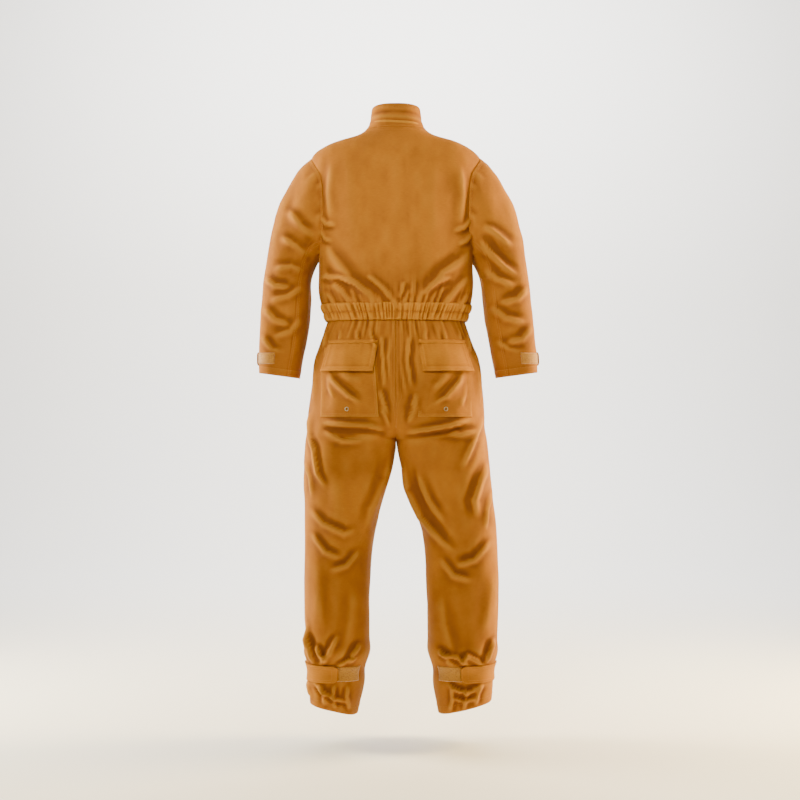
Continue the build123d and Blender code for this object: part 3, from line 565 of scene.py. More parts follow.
def thread(name, body, shade):
    """Spun aramid sewing thread: matt, a little paler than the cloth."""
    material, tree, shader = begin(name)
    place = add(tree, "ShaderNodeTexCoord").outputs["Object"]
    ply = add(tree, "ShaderNodeTexNoise", Vector=place, Scale=1400.0, Detail=1.0).outputs["Fac"]
    tree.links.new(ramp(tree, ply, linear(shade), linear(body), 0.35, 0.65), shader.inputs["Base Color"])
    shader.inputs["Roughness"].default_value = 0.8
    return material


SHELL = twill("aramid_twill", "#a6660a", "#8d5305", "#d09a34")
TRIM = twill("aramid_twill_trim", "#b4720c", "#9c6006", "#dba63c")
LOOP = pile("loop_pile", "#c48a1e", "#8a5a10")
TAPE = webbing("zip_tape", "#a8641a", "#804a10", 1.2)
ELASTIC = webbing("elastic_web", "#e6dcc4", "#bfb295", 1.6)
ZIP_METAL = brass("zip_brass", "#c9a25a", "#8a6a30", 0.32)
EYELET_METAL = brass("eyelet_brass", "#cdbd9a", "#8a6840", 0.34)
THREAD = thread("aramid_thread", "#d08a2c", "#a5641a")


# ---------------------------------------------------------------- how the cloth lies
# Creases, as folds() reads them. On the body x is signed, + to the wearer's left.
BODY_FOLDS = [
    (1, 17, 7.5, -0.8, 198, -292, 162, -350, 118, -405, 66, -452, 26, -486),
    (1, 10, 5, -0.8, 196, -372, 158, -418, 118, -462, 102, -488), (1, 8, 4, -0.7, 190, -432, 166, -460, 150, -490),
    (1, 16, 8.5, 0.8, -203, -322, -168, -360, -122, -392, -82, -436, -52, -486),
    (1, 10, 5, 0.8, -196, -392, -160, -428, -130, -462, -112, -488),
    (1, 8, 4, 0.7, -190, -440, -168, -466, -158, -490),
    (1, 8, 9.5, 0.9, 205, -398, 150, -404, 104, -420, 62, -452), (1, 9, 8, 0.9, 80, -396, 44, -426, 4, -462),
    (1, 8, 7, -0.9, -150, -400, -100, -420, -60, -452), (1, 7, 6, -0.8, -22, -412, -18, -436, -8, -462),
    (1, 9, 4, 0.6, 34, -436, 10, -462, -12, -490), (1, 8, 3.5, -0.6, -40, -430, -22, -462, -6, -490),
    (1, 14, 4.5, 0.7, 170, -90, 176, -180, 168, -280), (1, 14, 5, -0.7, -168, -95, -176, -190, -166, -290),
    (1, 34, 4, 0.3, 110, -75, 120, -200, 92, -345), (1, 36, 4, -0.3, -95, -80, -88, -220, -104, -360),
    (1, 30, 2.5, 0.2, 10, -60, -6, -190, 6, -330), (1, 8, 5.5, 0.6, 207, -236, 182, -262, 150, -268),
    (1, 7, 4.5, 0.6, 207, -270, 186, -300, 160, -312), (1, 8, 5.5, -0.6, -207, -240, -178, -272, -146, -284),
    (1, 7, 4.5, -0.6, -207, -280, -184, -306, -160, -318),
    (-1, 15, 8, -0.8, 196, -300, 150, -352, 105, -400, 60, -455, 45, -486),
    (-1, 15, 8, 0.8, -196, -305, -155, -350, -108, -405, -65, -452, -48, -488),
    (-1, 10, 5, -0.6, 185, -400, 150, -440, 125, -486), (-1, 10, 5, 0.6, -188, -405, -152, -445, -130, -488),
    (-1, 14, 4, 0.4, 190, -130, 150, -165, 120, -178), (-1, 14, 4, -0.4, -190, -135, -152, -168, -120, -180),
    (-1, 22, 3, 0.3, 60, -120, 48, -230, 55, -330), (-1, 22, 3, -0.3, -60, -125, -50, -235, -58, -340),
]
# For the halves of the trousers and the sleeves x is the distance from the garment's centre.
TROUSER_FOLDS = {
    "left": [
        (1, 8, 7.5, 0.8, 40, -545, 34, -620, 30, -700), (1, 7, 6.3, 0.8, 12, -540, 20, -610, 14, -690),
        (1, 8, 6, -0.8, 42, -690, 28, -735, 14, -780), (1, 6, 5, -0.8, 40, -735, 24, -770, 12, -800),
        (1, 5, 5.6, 0.8, 150, -522, 146, -548, 150, -572), (1, 5, 5.6, -0.8, 112, -522, 102, -548, 98, -572),
        (1, 5, 6.9, -0.8, 70, -522, 62, -560, 50, -590), (1, 5, 6.3, 0.8, 182, -525, 186, -555, 194, -590),
        (1, 8, 5.6, 0.6, 212, -560, 216, -640, 222, -740),
        (1, 9, 10.8, 0.9, 200, -782, 130, -790, 70, -792, 18, -806),
        (1, 10, 6.5, -0.8, 198, -800, 140, -828, 80, -828), (1, 8, 7.5, 0.8, 232, -745, 226, -815, 200, -880),
        (1, 8, 8.5, -0.8, 238, -800, 216, -850, 205, -915, 180, -960),
        (1, 7, 6, 0.7, 242, -880, 226, -925, 222, -985), (1, 14, 8, 0.7, 10, -850, 30, -930, 66, -1010, 82, -1080),
        (1, 11, 6, -0.8, 236, -1000, 190, -1046, 135, -1070, 95, -1062),
        (1, 10, 6, -0.8, 228, -1065, 185, -1118, 140, -1140), (1, 10, 5, 0.7, 92, -1110, 130, -1155, 178, -1172),
        (1, 26, 5, 0.4, 160, -900, 150, -1010, 165, -1120), (1, 18, 5, -0.5, 212, -1120, 205, -1230, 195, -1340),
        (1, 18, 5, 0.5, 110, -1200, 116, -1300, 135, -1400),
        (1, 7, 11.9, -0.7, 234, -1330, 222, -1375, 216, -1425),
        (1, 8, 10.2, -0.7, 214, -1360, 196, -1392, 176, -1412),
        (1, 8, 9.3, 0.7, 96, -1355, 118, -1392, 122, -1422), (1, 6, 9, 0.8, 236, -1300, 230, -1360, 234, -1425),
        (1, 9, 7.5, 0.8, 150, -1330, 176, -1385, 206, -1425), (1, 6, 7.5, 0.8, 100, -1395, 126, -1402, 160, -1425),
        (1, 6, 10, 0.9, 222, -1460, 196, -1488, 150, -1512, 120, -1520),
        (1, 5, 8, 0.8, 236, -1460, 232, -1485, 222, -1515), (1, 8, 9.5, 0.6, 206, -1462, 190, -1490, 186, -1530),
        (1, 7, 8.5, -0.6, 160, -1462, 164, -1500, 158, -1540),
        (1, 7, 7.6, 0.6, 126, -1465, 130, -1500, 122, -1545),
        (-1, 18, 6.5, -0.7, 210, -560, 150, -680, 80, -770, 30, -815),
        (-1, 13, 8, -0.8, 235, -740, 170, -805, 90, -850, 30, -860),
        (-1, 12, 7, -0.7, 240, -860, 180, -910, 110, -950), (-1, 14, 7, 0.7, 20, -860, 60, -950, 110, -1040),
        (-1, 12, 8, -0.7, 235, -1020, 180, -1060, 110, -1080), (-1, 12, 8, 0.7, 80, -1080, 140, -1140, 210, -1170),
        (-1, 16, 6.5, -0.6, 230, -1150, 190, -1240, 140, -1330),
        (-1, 16, 6.5, 0.6, 100, -1220, 130, -1340, 170, -1430),
        (-1, 10, 6.5, -0.6, 225, -1360, 190, -1420, 150, -1450),
    ],
    "right": [
        (1, 8, 7.5, 0.8, 36, -545, 30, -620, 42, -700), (1, 7, 6.3, -0.8, 14, -545, 10, -620, 26, -720),
        (1, 8, 6, -0.8, 52, -700, 44, -745, 30, -790), (1, 5, 5.6, -0.8, 120, -522, 126, -548, 132, -572),
        (1, 5, 5.6, 0.8, 160, -522, 168, -550, 172, -572), (1, 5, 5.6, 0.8, 80, -522, 76, -555, 80, -572),
        (1, 5, 6.3, 0.8, 184, -525, 190, -560, 200, -600), (1, 8, 5.6, 0.6, 212, -560, 218, -640, 224, -740),
        (1, 9, 12.1, 0.9, 206, -772, 140, -792, 75, -802, 16, -812),
        (1, 9, 6, -0.8, 216, -800, 170, -812, 130, -808), (1, 10, 6.5, 0.8, 236, -760, 205, -830, 170, -910),
        (1, 13, 13.5, 0.9, 14, -870, 36, -960, 70, -1030, 120, -1092, 164, -1130),
        (1, 12, 6, 0.7, 50, -905, 86, -985, 130, -1050),
        (1, 13, 11, -0.8, 246, -880, 222, -930, 204, -985, 214, -1040),
        (1, 9, 8, 0.8, 256, -960, 240, -1010, 236, -1070), (1, 11, 6.5, -0.8, 255, -1085, 205, -1140, 150, -1158),
        (1, 11, 5.5, 0.7, 110, -1130, 150, -1180, 205, -1200),
        (1, 17, 5.5, -0.5, 258, -1160, 245, -1270, 225, -1360),
        (1, 16, 5, 0.5, 115, -1220, 125, -1310, 150, -1400),
        (1, 8, 11.9, -0.7, 258, -1345, 240, -1390, 232, -1425),
        (1, 8, 9.3, 0.7, 112, -1370, 136, -1400, 150, -1425),
        (1, 8, 8.5, -0.7, 190, -1380, 180, -1402, 160, -1420),
        (1, 7, 10.5, -0.9, 110, -1385, 160, -1398, 200, -1425), (1, 7, 8, 0.8, 176, -1385, 210, -1402, 240, -1428),
        (1, 7, 9.5, 0.9, 128, -1462, 160, -1482, 190, -1488, 230, -1465),
        (1, 6, 7, 0.8, 140, -1500, 176, -1512, 226, -1498), (1, 8, 9.5, 0.6, 232, -1462, 214, -1492, 208, -1530),
        (1, 7, 8.5, -0.6, 180, -1462, 184, -1500, 176, -1545),
        (1, 7, 7.6, 0.6, 146, -1465, 150, -1505, 142, -1548),
        (-1, 18, 6.5, -0.7, 210, -555, 145, -690, 75, -775, 30, -812),
        (-1, 13, 8, -0.8, 240, -750, 175, -815, 95, -855, 30, -858),
        (-1, 12, 7, -0.7, 245, -880, 185, -930, 115, -965), (-1, 14, 7, 0.7, 20, -870, 65, -970, 120, -1060),
        (-1, 12, 8, -0.7, 255, -1030, 195, -1080, 120, -1100), (-1, 12, 8, 0.7, 90, -1100, 150, -1160, 225, -1190),
        (-1, 16, 6.5, -0.6, 250, -1170, 205, -1260, 155, -1350),
        (-1, 16, 6.5, 0.6, 110, -1240, 145, -1350, 190, -1440),
        (-1, 10, 6.5, -0.6, 245, -1370, 210, -1425, 165, -1452),
    ],
}
SLEEVE_FOLDS = {
    "left": [
        (1, 13, 8, 0.6, 215, -300, 250, -265, 290, -215), (1, 12, 8, 0.6, 225, -350, 262, -318, 310, -290),
        (1, 12, 8, 0.6, 232, -385, 275, -372, 330, -378), (1, 11, 9, -0.7, 352, -395, 318, -420, 270, -428),
        (1, 11, 7, 0.6, 240, -420, 285, -448, 340, -462), (1, 12, 8, -0.6, 358, -470, 320, -510, 270, -530),
        (1, 12, 6, 0.6, 245, -500, 280, -540, 335, -560), (1, 10, 6, -0.6, 360, -545, 330, -590, 290, -605),
        (1, 20, 6, 0.3, 300, -150, 312, -250, 330, -350), (-1, 14, 8, 0.6, 220, -300, 255, -250, 290, -200),
        (-1, 12, 9, 0.6, 235, -370, 280, -340, 330, -330), (-1, 12, 10, -0.7, 350, -400, 300, -430, 250, -430),
        (-1, 12, 8, 0.6, 245, -470, 290, -490, 345, -500), (-1, 11, 7, -0.6, 355, -540, 310, -570, 265, -570),
    ],
    "right": [
        (1, 13, 12, 0.8, 218, -295, 245, -330, 285, -372, 330, -400),
        (1, 12, 8, 0.6, 225, -262, 262, -285, 312, -325), (1, 12, 9, 0.6, 228, -372, 265, -402, 320, -425),
        (1, 12, 9, -0.7, 356, -420, 320, -455, 265, -470), (1, 12, 8, 0.6, 245, -470, 290, -505, 350, -520),
        (1, 12, 7, -0.6, 370, -520, 335, -560, 280, -575), (1, 10, 6, 0.6, 262, -560, 300, -590, 345, -602),
        (1, 20, 6, 0.3, 300, -155, 315, -255, 338, -350), (-1, 14, 8, 0.6, 220, -300, 255, -255, 292, -205),
        (-1, 12, 9, 0.6, 238, -375, 285, -345, 338, -335), (-1, 12, 10, -0.7, 352, -405, 300, -435, 250, -432),
        (-1, 12, 8, 0.6, 250, -475, 300, -495, 355, -505), (-1, 11, 7, -0.6, 365, -545, 320, -575, 270, -575),
    ],
}


def undulation(points, seed):
    """Slack in the cloth: broad upright waves of 4 mm and small ones of 1.2 mm."""
    broad, small = value_noise(points, (0.075, 0.075, 0.17), seed), value_noise(points, (0.026, 0.026, 0.05), seed + 1)
    return 0.0036 * broad + 0.0014 * small


def gathers(points, spread=0.045):
    """Upright puckers where the waist is drawn in: ridged noise round the waist that dies out above and below."""
    angle = np.arctan2(points[..., 1] + 0.055, points[..., 0])
    round_it = np.stack([angle * 0.19, 0 * angle, points[..., 2] * 0.18], axis=-1)
    ridges = 1 - 2 * np.abs(value_noise(round_it, (0.0135, 1, 0.02), 71))
    ridges = ridges + 0.6 * value_noise(round_it, (0.0075, 1, 0.02), 73)
    away = np.abs(points[..., 2] - ELASTIC_Z)
    strength = 0.7 + 0.5 * value_noise(round_it, (0.05, 1, 0.05), 77)
    return 0.0034 * strength * ridges * np.exp(-((np.maximum(away - 0.018, 0) / spread) ** 2))


def zip_calm(points, half=0.022):
    """0 on the front edge, 1 away from it, so that no fold lifts the cloth off the zip."""
    near = ease((np.abs(points[..., 0]) - half) / 0.05)
    return np.where(points[..., 1] < SIDE_Y, near, 1.0)


def body_lift(points, normals):
    """How far the body's cloth stands from its even shape: creases, slack and the waist's gathers."""
    x, z = points[..., 0], points[..., 2]
    lift = folds(x, z, normals[..., 1], BODY_FOLDS) + undulation(points, 5) * ease((-0.01 - z) / 0.06)
    return (lift * ease((z + 0.506) / 0.03) + gathers(points)) * zip_calm(points)


def trouser_lift(side, points, normals):
    """How far one half of the trousers stands from its even shape; x is the distance from the centre."""
    x, z = points[..., 0], points[..., 2]
    calm = ease((-0.53 - z) / 0.04) * (1 - 0.55 * np.exp(-(((z - ANKLE_TAB_Z) / 0.03) ** 2)))
    centre = np.where(z > SPLIT_Z, ease((x - 0.002) / 0.035), 1.0)
    seed = 21 if side == "left" else 37
    signed = points * [SIDES[side], 1, 1]
    slack = undulation(signed, seed)
    lift = (folds(x, z, normals[..., 1], TROUSER_FOLDS[side]) + 0.9 * slack) * calm * centre
    cinch = 0.0040 * np.exp(-(((z + 1.392) / 0.022) ** 2)) - 0.0050 * np.exp(-(((z - ANKLE_TAB_Z) / 0.024) ** 2))
    return (lift + gathers(signed) + cinch) * zip_calm(points)


def sleeve_lift(side, points, normals):
    """How far a sleeve stands from its even shape; it is calm at the armhole and the cuff."""
    x, z = points[..., 0], points[..., 2]
    seed = 51 if side == "left" else 63
    calm = ease((z + 0.668) / 0.05) * (1 - 0.94 * np.exp(-(((z - CUFF_TAB_Z) / 0.026) ** 4)))
    return (folds(x, z, normals[..., 1], SLEEVE_FOLDS[side]) + undulation(points, seed)) * calm


def lifted(points, heights, weld=None):
    """The grid moved along its own normals by heights, with the normals of the result."""
    moved = points + normals_of(points, weld) * heights[..., None]
    return moved, normals_of(moved, weld)


# ---------------------------------------------------------------- pieces: bodice
def neck_line(y):
    """Height of the neck seam at a depth: level round the back, falling to the front."""
    return through([-0.140, -0.100, -0.046, 0.009], [-0.066, -0.0446, -0.004, 0.0], y)


def collar_line(y):
    """Height of the collar's top edge at a depth."""
    return through([-0.140, -0.100, -0.046, 0.009], [-0.004, 0.0132, 0.050, 0.066], y)


def meet(turns, line, out):
    """Height on the body, for each angle, at which it meets a line given as a height for every depth."""
    z = np.full(turns.shape, -0.02)
    for _ in range(12):
        z = 0.5 * z + 0.5 * line(body_point(turns, z, out)[..., 1])
    return z


def even_turns(point, start, stop, count):
    """Angles from start to stop that divide a section into equal lengths."""
    fine = np.linspace(start, stop, 2000)
    path = point(fine)
    run = np.concatenate([[0], np.cumsum(np.linalg.norm(np.diff(path, axis=0), axis=1))])
    return np.interp(np.linspace(0, run[-1], count), run, fine)


def front_turn(x, z):
    """Angle on the front of the body at a distance x to the wearer's left."""
    share = np.clip(np.abs(x) / level(BODY, z, 1), 0, 0.9995) ** (1 / SQUARE)
    return -np.arccos(np.sign(x) * share)


EDGE_TURN = float(front_turn(ZIP_EDGE, -0.3))


def bodice():
    """Both fronts and the back as one sheet, from the waist seam to the neck seam, open at the zip.

    Columns run from the wearer's left front edge round the back to the right one. The rows are spaced evenly
    along the side seam and stretched to the neck line.
    """
    columns, rows = 286, 142
    turns = even_turns(lambda t: body_point(t, -0.3 + 0 * t), EDGE_TURN, math.pi - EDGE_TURN, columns)
    fine = np.linspace(WAIST_Z, -0.004, 600)
    run = np.concatenate([[0], np.cumsum(np.hypot(np.diff(level(BODY, fine, 1)), np.diff(fine)))])
    spaced = np.interp(np.linspace(0, run[-1], rows), run, fine)
    share = (spaced - WAIST_Z) / (spaced[-1] - WAIST_Z)
    top = meet(turns, neck_line, CLOTH)
    z = WAIST_Z + (top[:, None] - WAIST_Z) * share[None]
    base = body_point(turns[:, None] + 0 * z, z, CLOTH)
    heights = body_lift(base, normals_of(base))
    sides = (0.0, math.pi)  # side seams, felled to the back
    seam = -0.0009 * sum(np.exp(-(((turns[:, None] - middle) / 0.010) ** 2)) for middle in sides)
    points, normals = lifted(base, heights + seam)
    mid = (points[:-1, :-1] + points[1:, 1:]) / 2
    mid_y, mid_z, deep, tall = ARMHOLE
    hole = ((mid[..., 1] - mid_y) / (deep - 0.010)) ** 2 + ((mid[..., 2] - mid_z) / (tall - 0.012)) ** 2
    keep = (hole > 1) | (np.abs(mid[..., 0]) < 0.12)
    piece = sheet_object("bodice_cloth", points, SHELL, wall=CLOTH, keep=keep, tone=crests(heights))
    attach(piece, "trunk")
    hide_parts("back_bodice", "left_front_bodice", "right_front_bodice")
    j_top = rows - 1 - np.array([1.6, 3.4])
    i_all = np.arange(2, columns - 2)
    sewn = [stitches(points, normals, i_all, j) for j in j_top]
    for i in (1.6, 3.6, columns - 2.6, columns - 4.6):  # beside the zip
        sewn.append(stitches(points, normals, i, np.arange(0, rows - 2)))
    for middle in sides:
        seam_i = float(np.interp(middle, turns, np.arange(columns)))
        for shift in (0.9, 2.6):
            sewn.append(stitches(points, normals, seam_i + shift, np.arange(0, int(rows * 0.30))))
    line = beads_object("bodice_stitching", sewn, THREAD)
    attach(line, "trunk")


def collar():
    """Stand collar: an outer band and its facing, which meet in a rolled top edge; the outer one buckles level."""
    columns, rows = 200, 26
    for name, out, low_shift, wall, node in (
        ("collar_cloth", 0.0022, 0.0, 1.7 * MM, "collar"),
        ("collar_facing_cloth", -0.0002, -0.012, 1.5 * MM, "collar_facing"),
    ):
        edge = float(front_turn(0.0050, 0.0))
        turns = even_turns(lambda t: body_point(t, 0.02 + 0 * t), edge, math.pi - edge, columns)
        low = meet(turns, neck_line, out)
        high = meet(turns, collar_line, out)
        share = np.linspace(0, 1, rows)
        z = low[:, None] + low_shift * ease(0.5 + np.sin(turns)[:, None]) + (high - low)[:, None] * share[None]
        if low_shift:
            z = np.minimum(z, high[:, None])
        base = body_point(turns[:, None] + 0 * z, z, out)
        x = base[..., 0]
        buckle = 0.0034 * np.exp(-(((share[None] - 0.42 - 0.8 * x) / 0.10) ** 2)) - 0.0024 * np.exp(
            -(((share[None] - 0.66 - 0.5 * x) / 0.09) ** 2)
        )
        buckle = buckle * (normals_of(base)[..., 1] > -0.2) * ease((0.085 - np.abs(x)) / 0.04)
        slack = 0.0016 * value_noise(base, (0.03, 0.03, 0.02), 91) * zip_calm(base, 0.012)
        roll = 0.0012 * ease((share[None] - 0.86) / 0.14) * (1 if out > 0 else -0.2)
        heights = (buckle + slack) * ease(share[None] / 0.2) * (1 - 0.6 * ease((share[None] - 0.8) / 0.2)) - roll
        points, normals = lifted(base, heights)
        piece = sheet_object(name, points, SHELL if out > 0 else TRIM, wall=wall, tone=crests(heights))
        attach(piece, "trunk")
        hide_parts(node)
        if out > 0:
            columns_all = np.arange(2, columns - 2)
            sewn = [stitches(points, normals, columns_all, j) for j in (1.2, rows - 2.4, rows - 5.0)]
            line = beads_object("collar_stitching", sewn, THREAD)
            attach(line, "trunk")


def ribbon(path, across, width, count):
    """A flat strip: points of a path, each spread along its across vector over the width, in count rows."""
    spread = np.linspace(-0.5, 0.5, count) * width
    return path[:, None] + across[:, None] * spread[None, :, None]


def hanger():
    """Folded strap loop inside the back neck, bowed forwards between its two sewn ends."""
    turn = np.linspace(-1, 1, 60)
    reach = 0.0450
    bow = 0.0042 - 0.0100 * (1 - turn**2) - 0.004 * np.abs(turn) ** 6
    path = np.stack([-turn * reach, bow + 0.0004, 0.0008 * np.cos(turn * 6)], axis=-1)
    strip = ribbon(path, np.tile([0.0, 0, 1], (60, 1)), 0.0090, 7)
    strip[..., 1] += 0.0004 * np.cos(np.linspace(-1, 1, 7) * 1.4)[None]
    piece = sheet_object("hanger_strap", strip[::-1], TRIM, wall=1.4 * MM)
    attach(piece, "trunk")
    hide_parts("hanger_loop")


# ---------------------------------------------------------------- pieces: waist
def waist():
    """Elastic in its casing: the casing is a band sewn at both edges that puffs between two rows of stitches."""
    gap = 0.024
    columns = 470
    start = float(front_turn(gap, -0.49))
    turns = even_turns(lambda t: body_point(t, -0.49 + 0 * t), start, math.pi - start, columns)
    share = np.linspace(0, 1, 17)
    z = WAIST_Z + 0.001 + 0.047 * share[None] + 0 * turns[:, None]
    base = body_point(turns[:, None] + 0 * z, z, CLOTH)
    rows_down = np.abs(np.sin(share[None] * math.pi * 2)) ** 0.7
    fine = np.stack([np.arctan2(base[..., 1] + 0.055, base[..., 0]) * 0.19, 0 * z, z * 0.25], axis=-1)
    pucker = 0.0030 * (1 - 2 * np.abs(value_noise(fine, (0.0080, 1, 0.020), 83)))
    pucker = pucker + 0.0012 * value_noise(fine, (0.004, 1, 0.012), 85)
    heights = gathers(base) * zip_calm(base) + 0.0036 + 0.0016 * rows_down + pucker * (0.6 + 0.4 * rows_down)
    heights = heights - 0.0016 * (1 - ease(np.minimum(share, 1 - share)[None] / 0.06))
    points, normals = lifted(base, heights)
    piece = sheet_object("waist_casing_cloth", points, TRIM, wall=1.1 * MM, tone=crests(heights))
    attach(piece, "trunk")
    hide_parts("waist_casing")
    every = np.arange(1, columns - 1)
    sewn = [stitches(points, normals, every, j, 3.4 * MM, 2.6 * MM) for j in (0.9, 8, 15.1)]
    line = beads_object("waist_stitching", sewn, THREAD)
    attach(line, "trunk")
    inner = body_point(turns[::3, None] + 0 * z[::3, 2:15:3], z[::3, 2:15:3], CLOTH)
    band, _ = lifted(inner, gathers(inner) * zip_calm(inner) - 0.0002)
    elastic = sheet_object("waist_elastic_band", band, ELASTIC, wall=0.8 * MM)
    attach(elastic, "trunk")
    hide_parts("waist_elastic")


def trouser_half(side):
    """One half of the seat with its leg: open along the centre above the crotch and closed round the leg below.

    Columns run from the front edge round the outer side to the back edge. Its front edge stands off the centre
    down to the end of the zip. The hem slants, higher on the outer side.
    """
    columns, rows = 188, 224
    share_z = np.linspace(0, 1, rows)
    turns = even_turns(lambda t: trouser_point(side, t, -1.1 + 0 * t), -1, 1, columns)
    hem = HEM_Z + HEM_SLANT * (trouser_point(side, turns, HEM_Z + 0 * turns)[:, 0] - 0.165)
    z = hem[:, None] * (1 - share_z[None]) + (WAIST_Z + 0.003) * share_z[None]
    centre, half, split = half_section(side, z)
    edge = math.pi - np.arccos(np.clip(split ** (1 / SQUARE), 0, 1))
    opening = np.arccos(full(np.clip((ZIP_EDGE - centre) / half, -1, 1), 1 / SQUARE))
    first = np.where(z > ZIP_BOTTOM_Z, -opening / edge, -1.0)
    turn = np.where(turns[:, None] < 0, -turns[:, None] * first, turns[:, None])
    base = trouser_point(side, turn, z, CLOTH)
    weld = z[0] < SPLIT_Z
    normals = normals_of(base, weld)
    heights = trouser_lift(side, base, normals)
    seams = 0.0008 * ease((0.022 - (z - hem[:, None])) / 0.0015) - 0.0008 * np.exp(-((turns[:, None] / 0.008) ** 2))
    points, normals = lifted(base, heights + seams, weld)
    # The edges above the crotch stay on the centre line; below it they are one seam.
    points[-1, ~weld, 0] = 0.0
    points[0, ~weld & (z[0] < ZIP_BOTTOM_Z), 0] = 0.0
    points[..., 0] = np.maximum(points[..., 0], 0.0)
    piece = sheet_object(f"{side}_trouser_cloth", mirrored(side, points), SHELL, wall=CLOTH, weld=weld,
                         tone=counted(side, crests(heights)))
    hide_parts(*(f"{side}_{name}" for name in ("seat_back", "seat_front", "leg_back", "leg_front")))
    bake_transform(piece)
    sewn = []
    for height in (0.019, 0.004):  # hem, at a distance above its edge
        j = (height / ((WAIST_Z - hem) / (rows - 1)))
        sewn.append(stitches(points, normals, np.arange(0, columns), j))
    middle_i = float(np.interp(0.0, turns, np.arange(columns)))
    down = np.arange(2, rows - 1)
    for shift in (0.8, 2.5):  # side seam, felled to the back
        sewn.append(stitches(points, normals, middle_i + shift, down))
    crotch_j = int(np.searchsorted(z[0], SPLIT_Z)) + 6
    sewn.append(stitches(points, normals, columns - 2.0, np.arange(crotch_j, rows - 1)))
    sewn.append(stitches(points, normals, columns - 3.6, np.arange(crotch_j, rows - 1)))
    zip_end = int(np.searchsorted(z[0], ZIP_BOTTOM_Z)) + 2
    sewn.append(stitches(points, normals, 1.5, np.arange(zip_end, rows - 1)))
    sewn.append(stitches(points, normals, 3.2, np.arange(crotch_j, rows - 1)))
    line = beads_object(f"{side}_trouser_stitching", on_side(side, sewn), THREAD)
    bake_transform(line)


def sleeve(side):
    """One sleeve: a head that leaves the armhole in a cubic, then level sections down to the slanted cuff."""
    columns, head_rows, low_rows = 132, 92, 76
    turns = even_turns(lambda t: sleeve_point(side, t, -0.45 + 0 * t), -math.pi, math.pi, columns)
    cuff = CUFF_Z + CUFF_SLANT * (sleeve_point(side, turns, CUFF_Z + 0 * turns)[:, 0] - 0.313)
    share = np.linspace(0, 1, low_rows, endpoint=False)
    z_low = cuff[:, None] + (SLEEVE_HEAD_Z - cuff[:, None]) * share[None]
    low = sleeve_point(side, turns[:, None] + 0 * z_low, z_low, CLOTH)
    down = np.linspace(1, 0, head_rows)
    head = sleeve_head(side, turns[:, None] + 0 * down[None], down[None] + 0 * turns[:, None])
    base = np.concatenate([low, head], axis=1)
    out_of = normals_of(base, np.ones(base.shape[1], bool))
    base[:, low_rows:] += out_of[:, low_rows:] * CLOTH
    weld = np.ones(base.shape[1], bool)
    normals = normals_of(base, weld)
    from_hole = np.concatenate([np.ones(low_rows), ease(down / 0.16)])[None]
    heights = sleeve_lift(side, base, normals) * from_hole
    # The armhole seam: a felled ridge with small puckers beside it.
    t_head = np.concatenate([np.ones(low_rows), down])[None]
    along = turns[:, None] * 0.11
    place = np.stack([along + 0 * t_head, 0 * along + t_head * 0.25, 0 * along + 0 * t_head], axis=-1)
    pucker = value_noise(place, (0.012, 0.04, 1), 95)
    heights = heights + 0.0018 * pucker * np.exp(-(((t_head - 0.07) / 0.06) ** 2))
    heights = heights + 0.0010 * ease((0.035 - t_head) / 0.01)
    heights = heights + 0.0007 * ease((0.020 - (base[..., 2] - cuff[:, None])) / 0.0015) * (base[..., 2] < -0.55)
    # The felled seam that runs down the back of the sleeve to the inner side of the cuff.
    run = np.arange(base.shape[1])[None]
    seam_turn = 2.25 - 0.35 * (1 - run / base.shape[1])
    heights = heights - 0.0009 * np.exp(-(((turns[:, None] - seam_turn) / 0.020) ** 2))
    points, normals = lifted(base, heights, weld)
    piece = sheet_object(f"{side}_sleeve_cloth", mirrored(side, points), SHELL, wall=CLOTH, weld=weld,
                         tone=counted(side, crests(heights)))
    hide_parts(*(f"{side}_{name}" for name in ("top_sleeve", "under_sleeve", "shoulder_cap")))
    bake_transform(piece)
    rows = base.shape[1]
    every = np.arange(0, columns)
    sewn = [stitches(points, normals, every, rows - 1 - k) for k in (1.2, 3.2)]
    j_hem = 0.018 / ((SLEEVE_HEAD_Z - cuff) / low_rows)
    sewn += [stitches(points, normals, every, j_hem), stitches(points, normals, every, j_hem * 0.2)]
    path_j = np.arange(1, rows - 4)
    path_i = np.interp(2.25 - 0.35 * (1 - path_j / rows), turns, every)
    sewn += [stitches(points, normals, path_i + k, path_j) for k in (0.7, 2.4)]
    line = beads_object(f"{side}_sleeve_stitching", on_side(side, sewn), THREAD)
    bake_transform(line)


# ---------------------------------------------------------------- pieces: patches on the cloth
def body_front(x, z, out):
    """A point on the front of the body at a signed x."""
    return body_point(front_turn(x, z), z, out)


def seat_back(x, z, out):
    """A point on the back of the wearer's left half of the trousers at a distance x from the centre."""
    centre, half, split = half_section("left", z)
    cosine = (x - centre) / (half + out)
    cosine = full(np.clip(cosine, -0.9995, 0.9995), 1 / SQUARE)
    edge = math.pi - np.arccos(np.clip(split ** (1 / SQUARE), 0, 1))
    return trouser_point("left", np.arccos(cosine) / edge, z, out)


def spread_x(side_surface, near, far, z, count):
    """x across a patch, spaced evenly along the curve of the surface at each height."""
    fine = near[None] + (far - near)[None] * np.linspace(0, 1, 160)[:, None]
    path = side_surface(fine, np.broadcast_to(z[None], fine.shape), 0.0)
    run = np.concatenate([np.zeros((1, len(z))), np.cumsum(np.linalg.norm(np.diff(path, axis=0), axis=-1), axis=0)])
    want = np.linspace(0, 1, count)[:, None] * run[-1:]
    return np.stack([np.interp(want[:, k], run[:, k], fine[:, k]) for k in range(len(z))], axis=1)


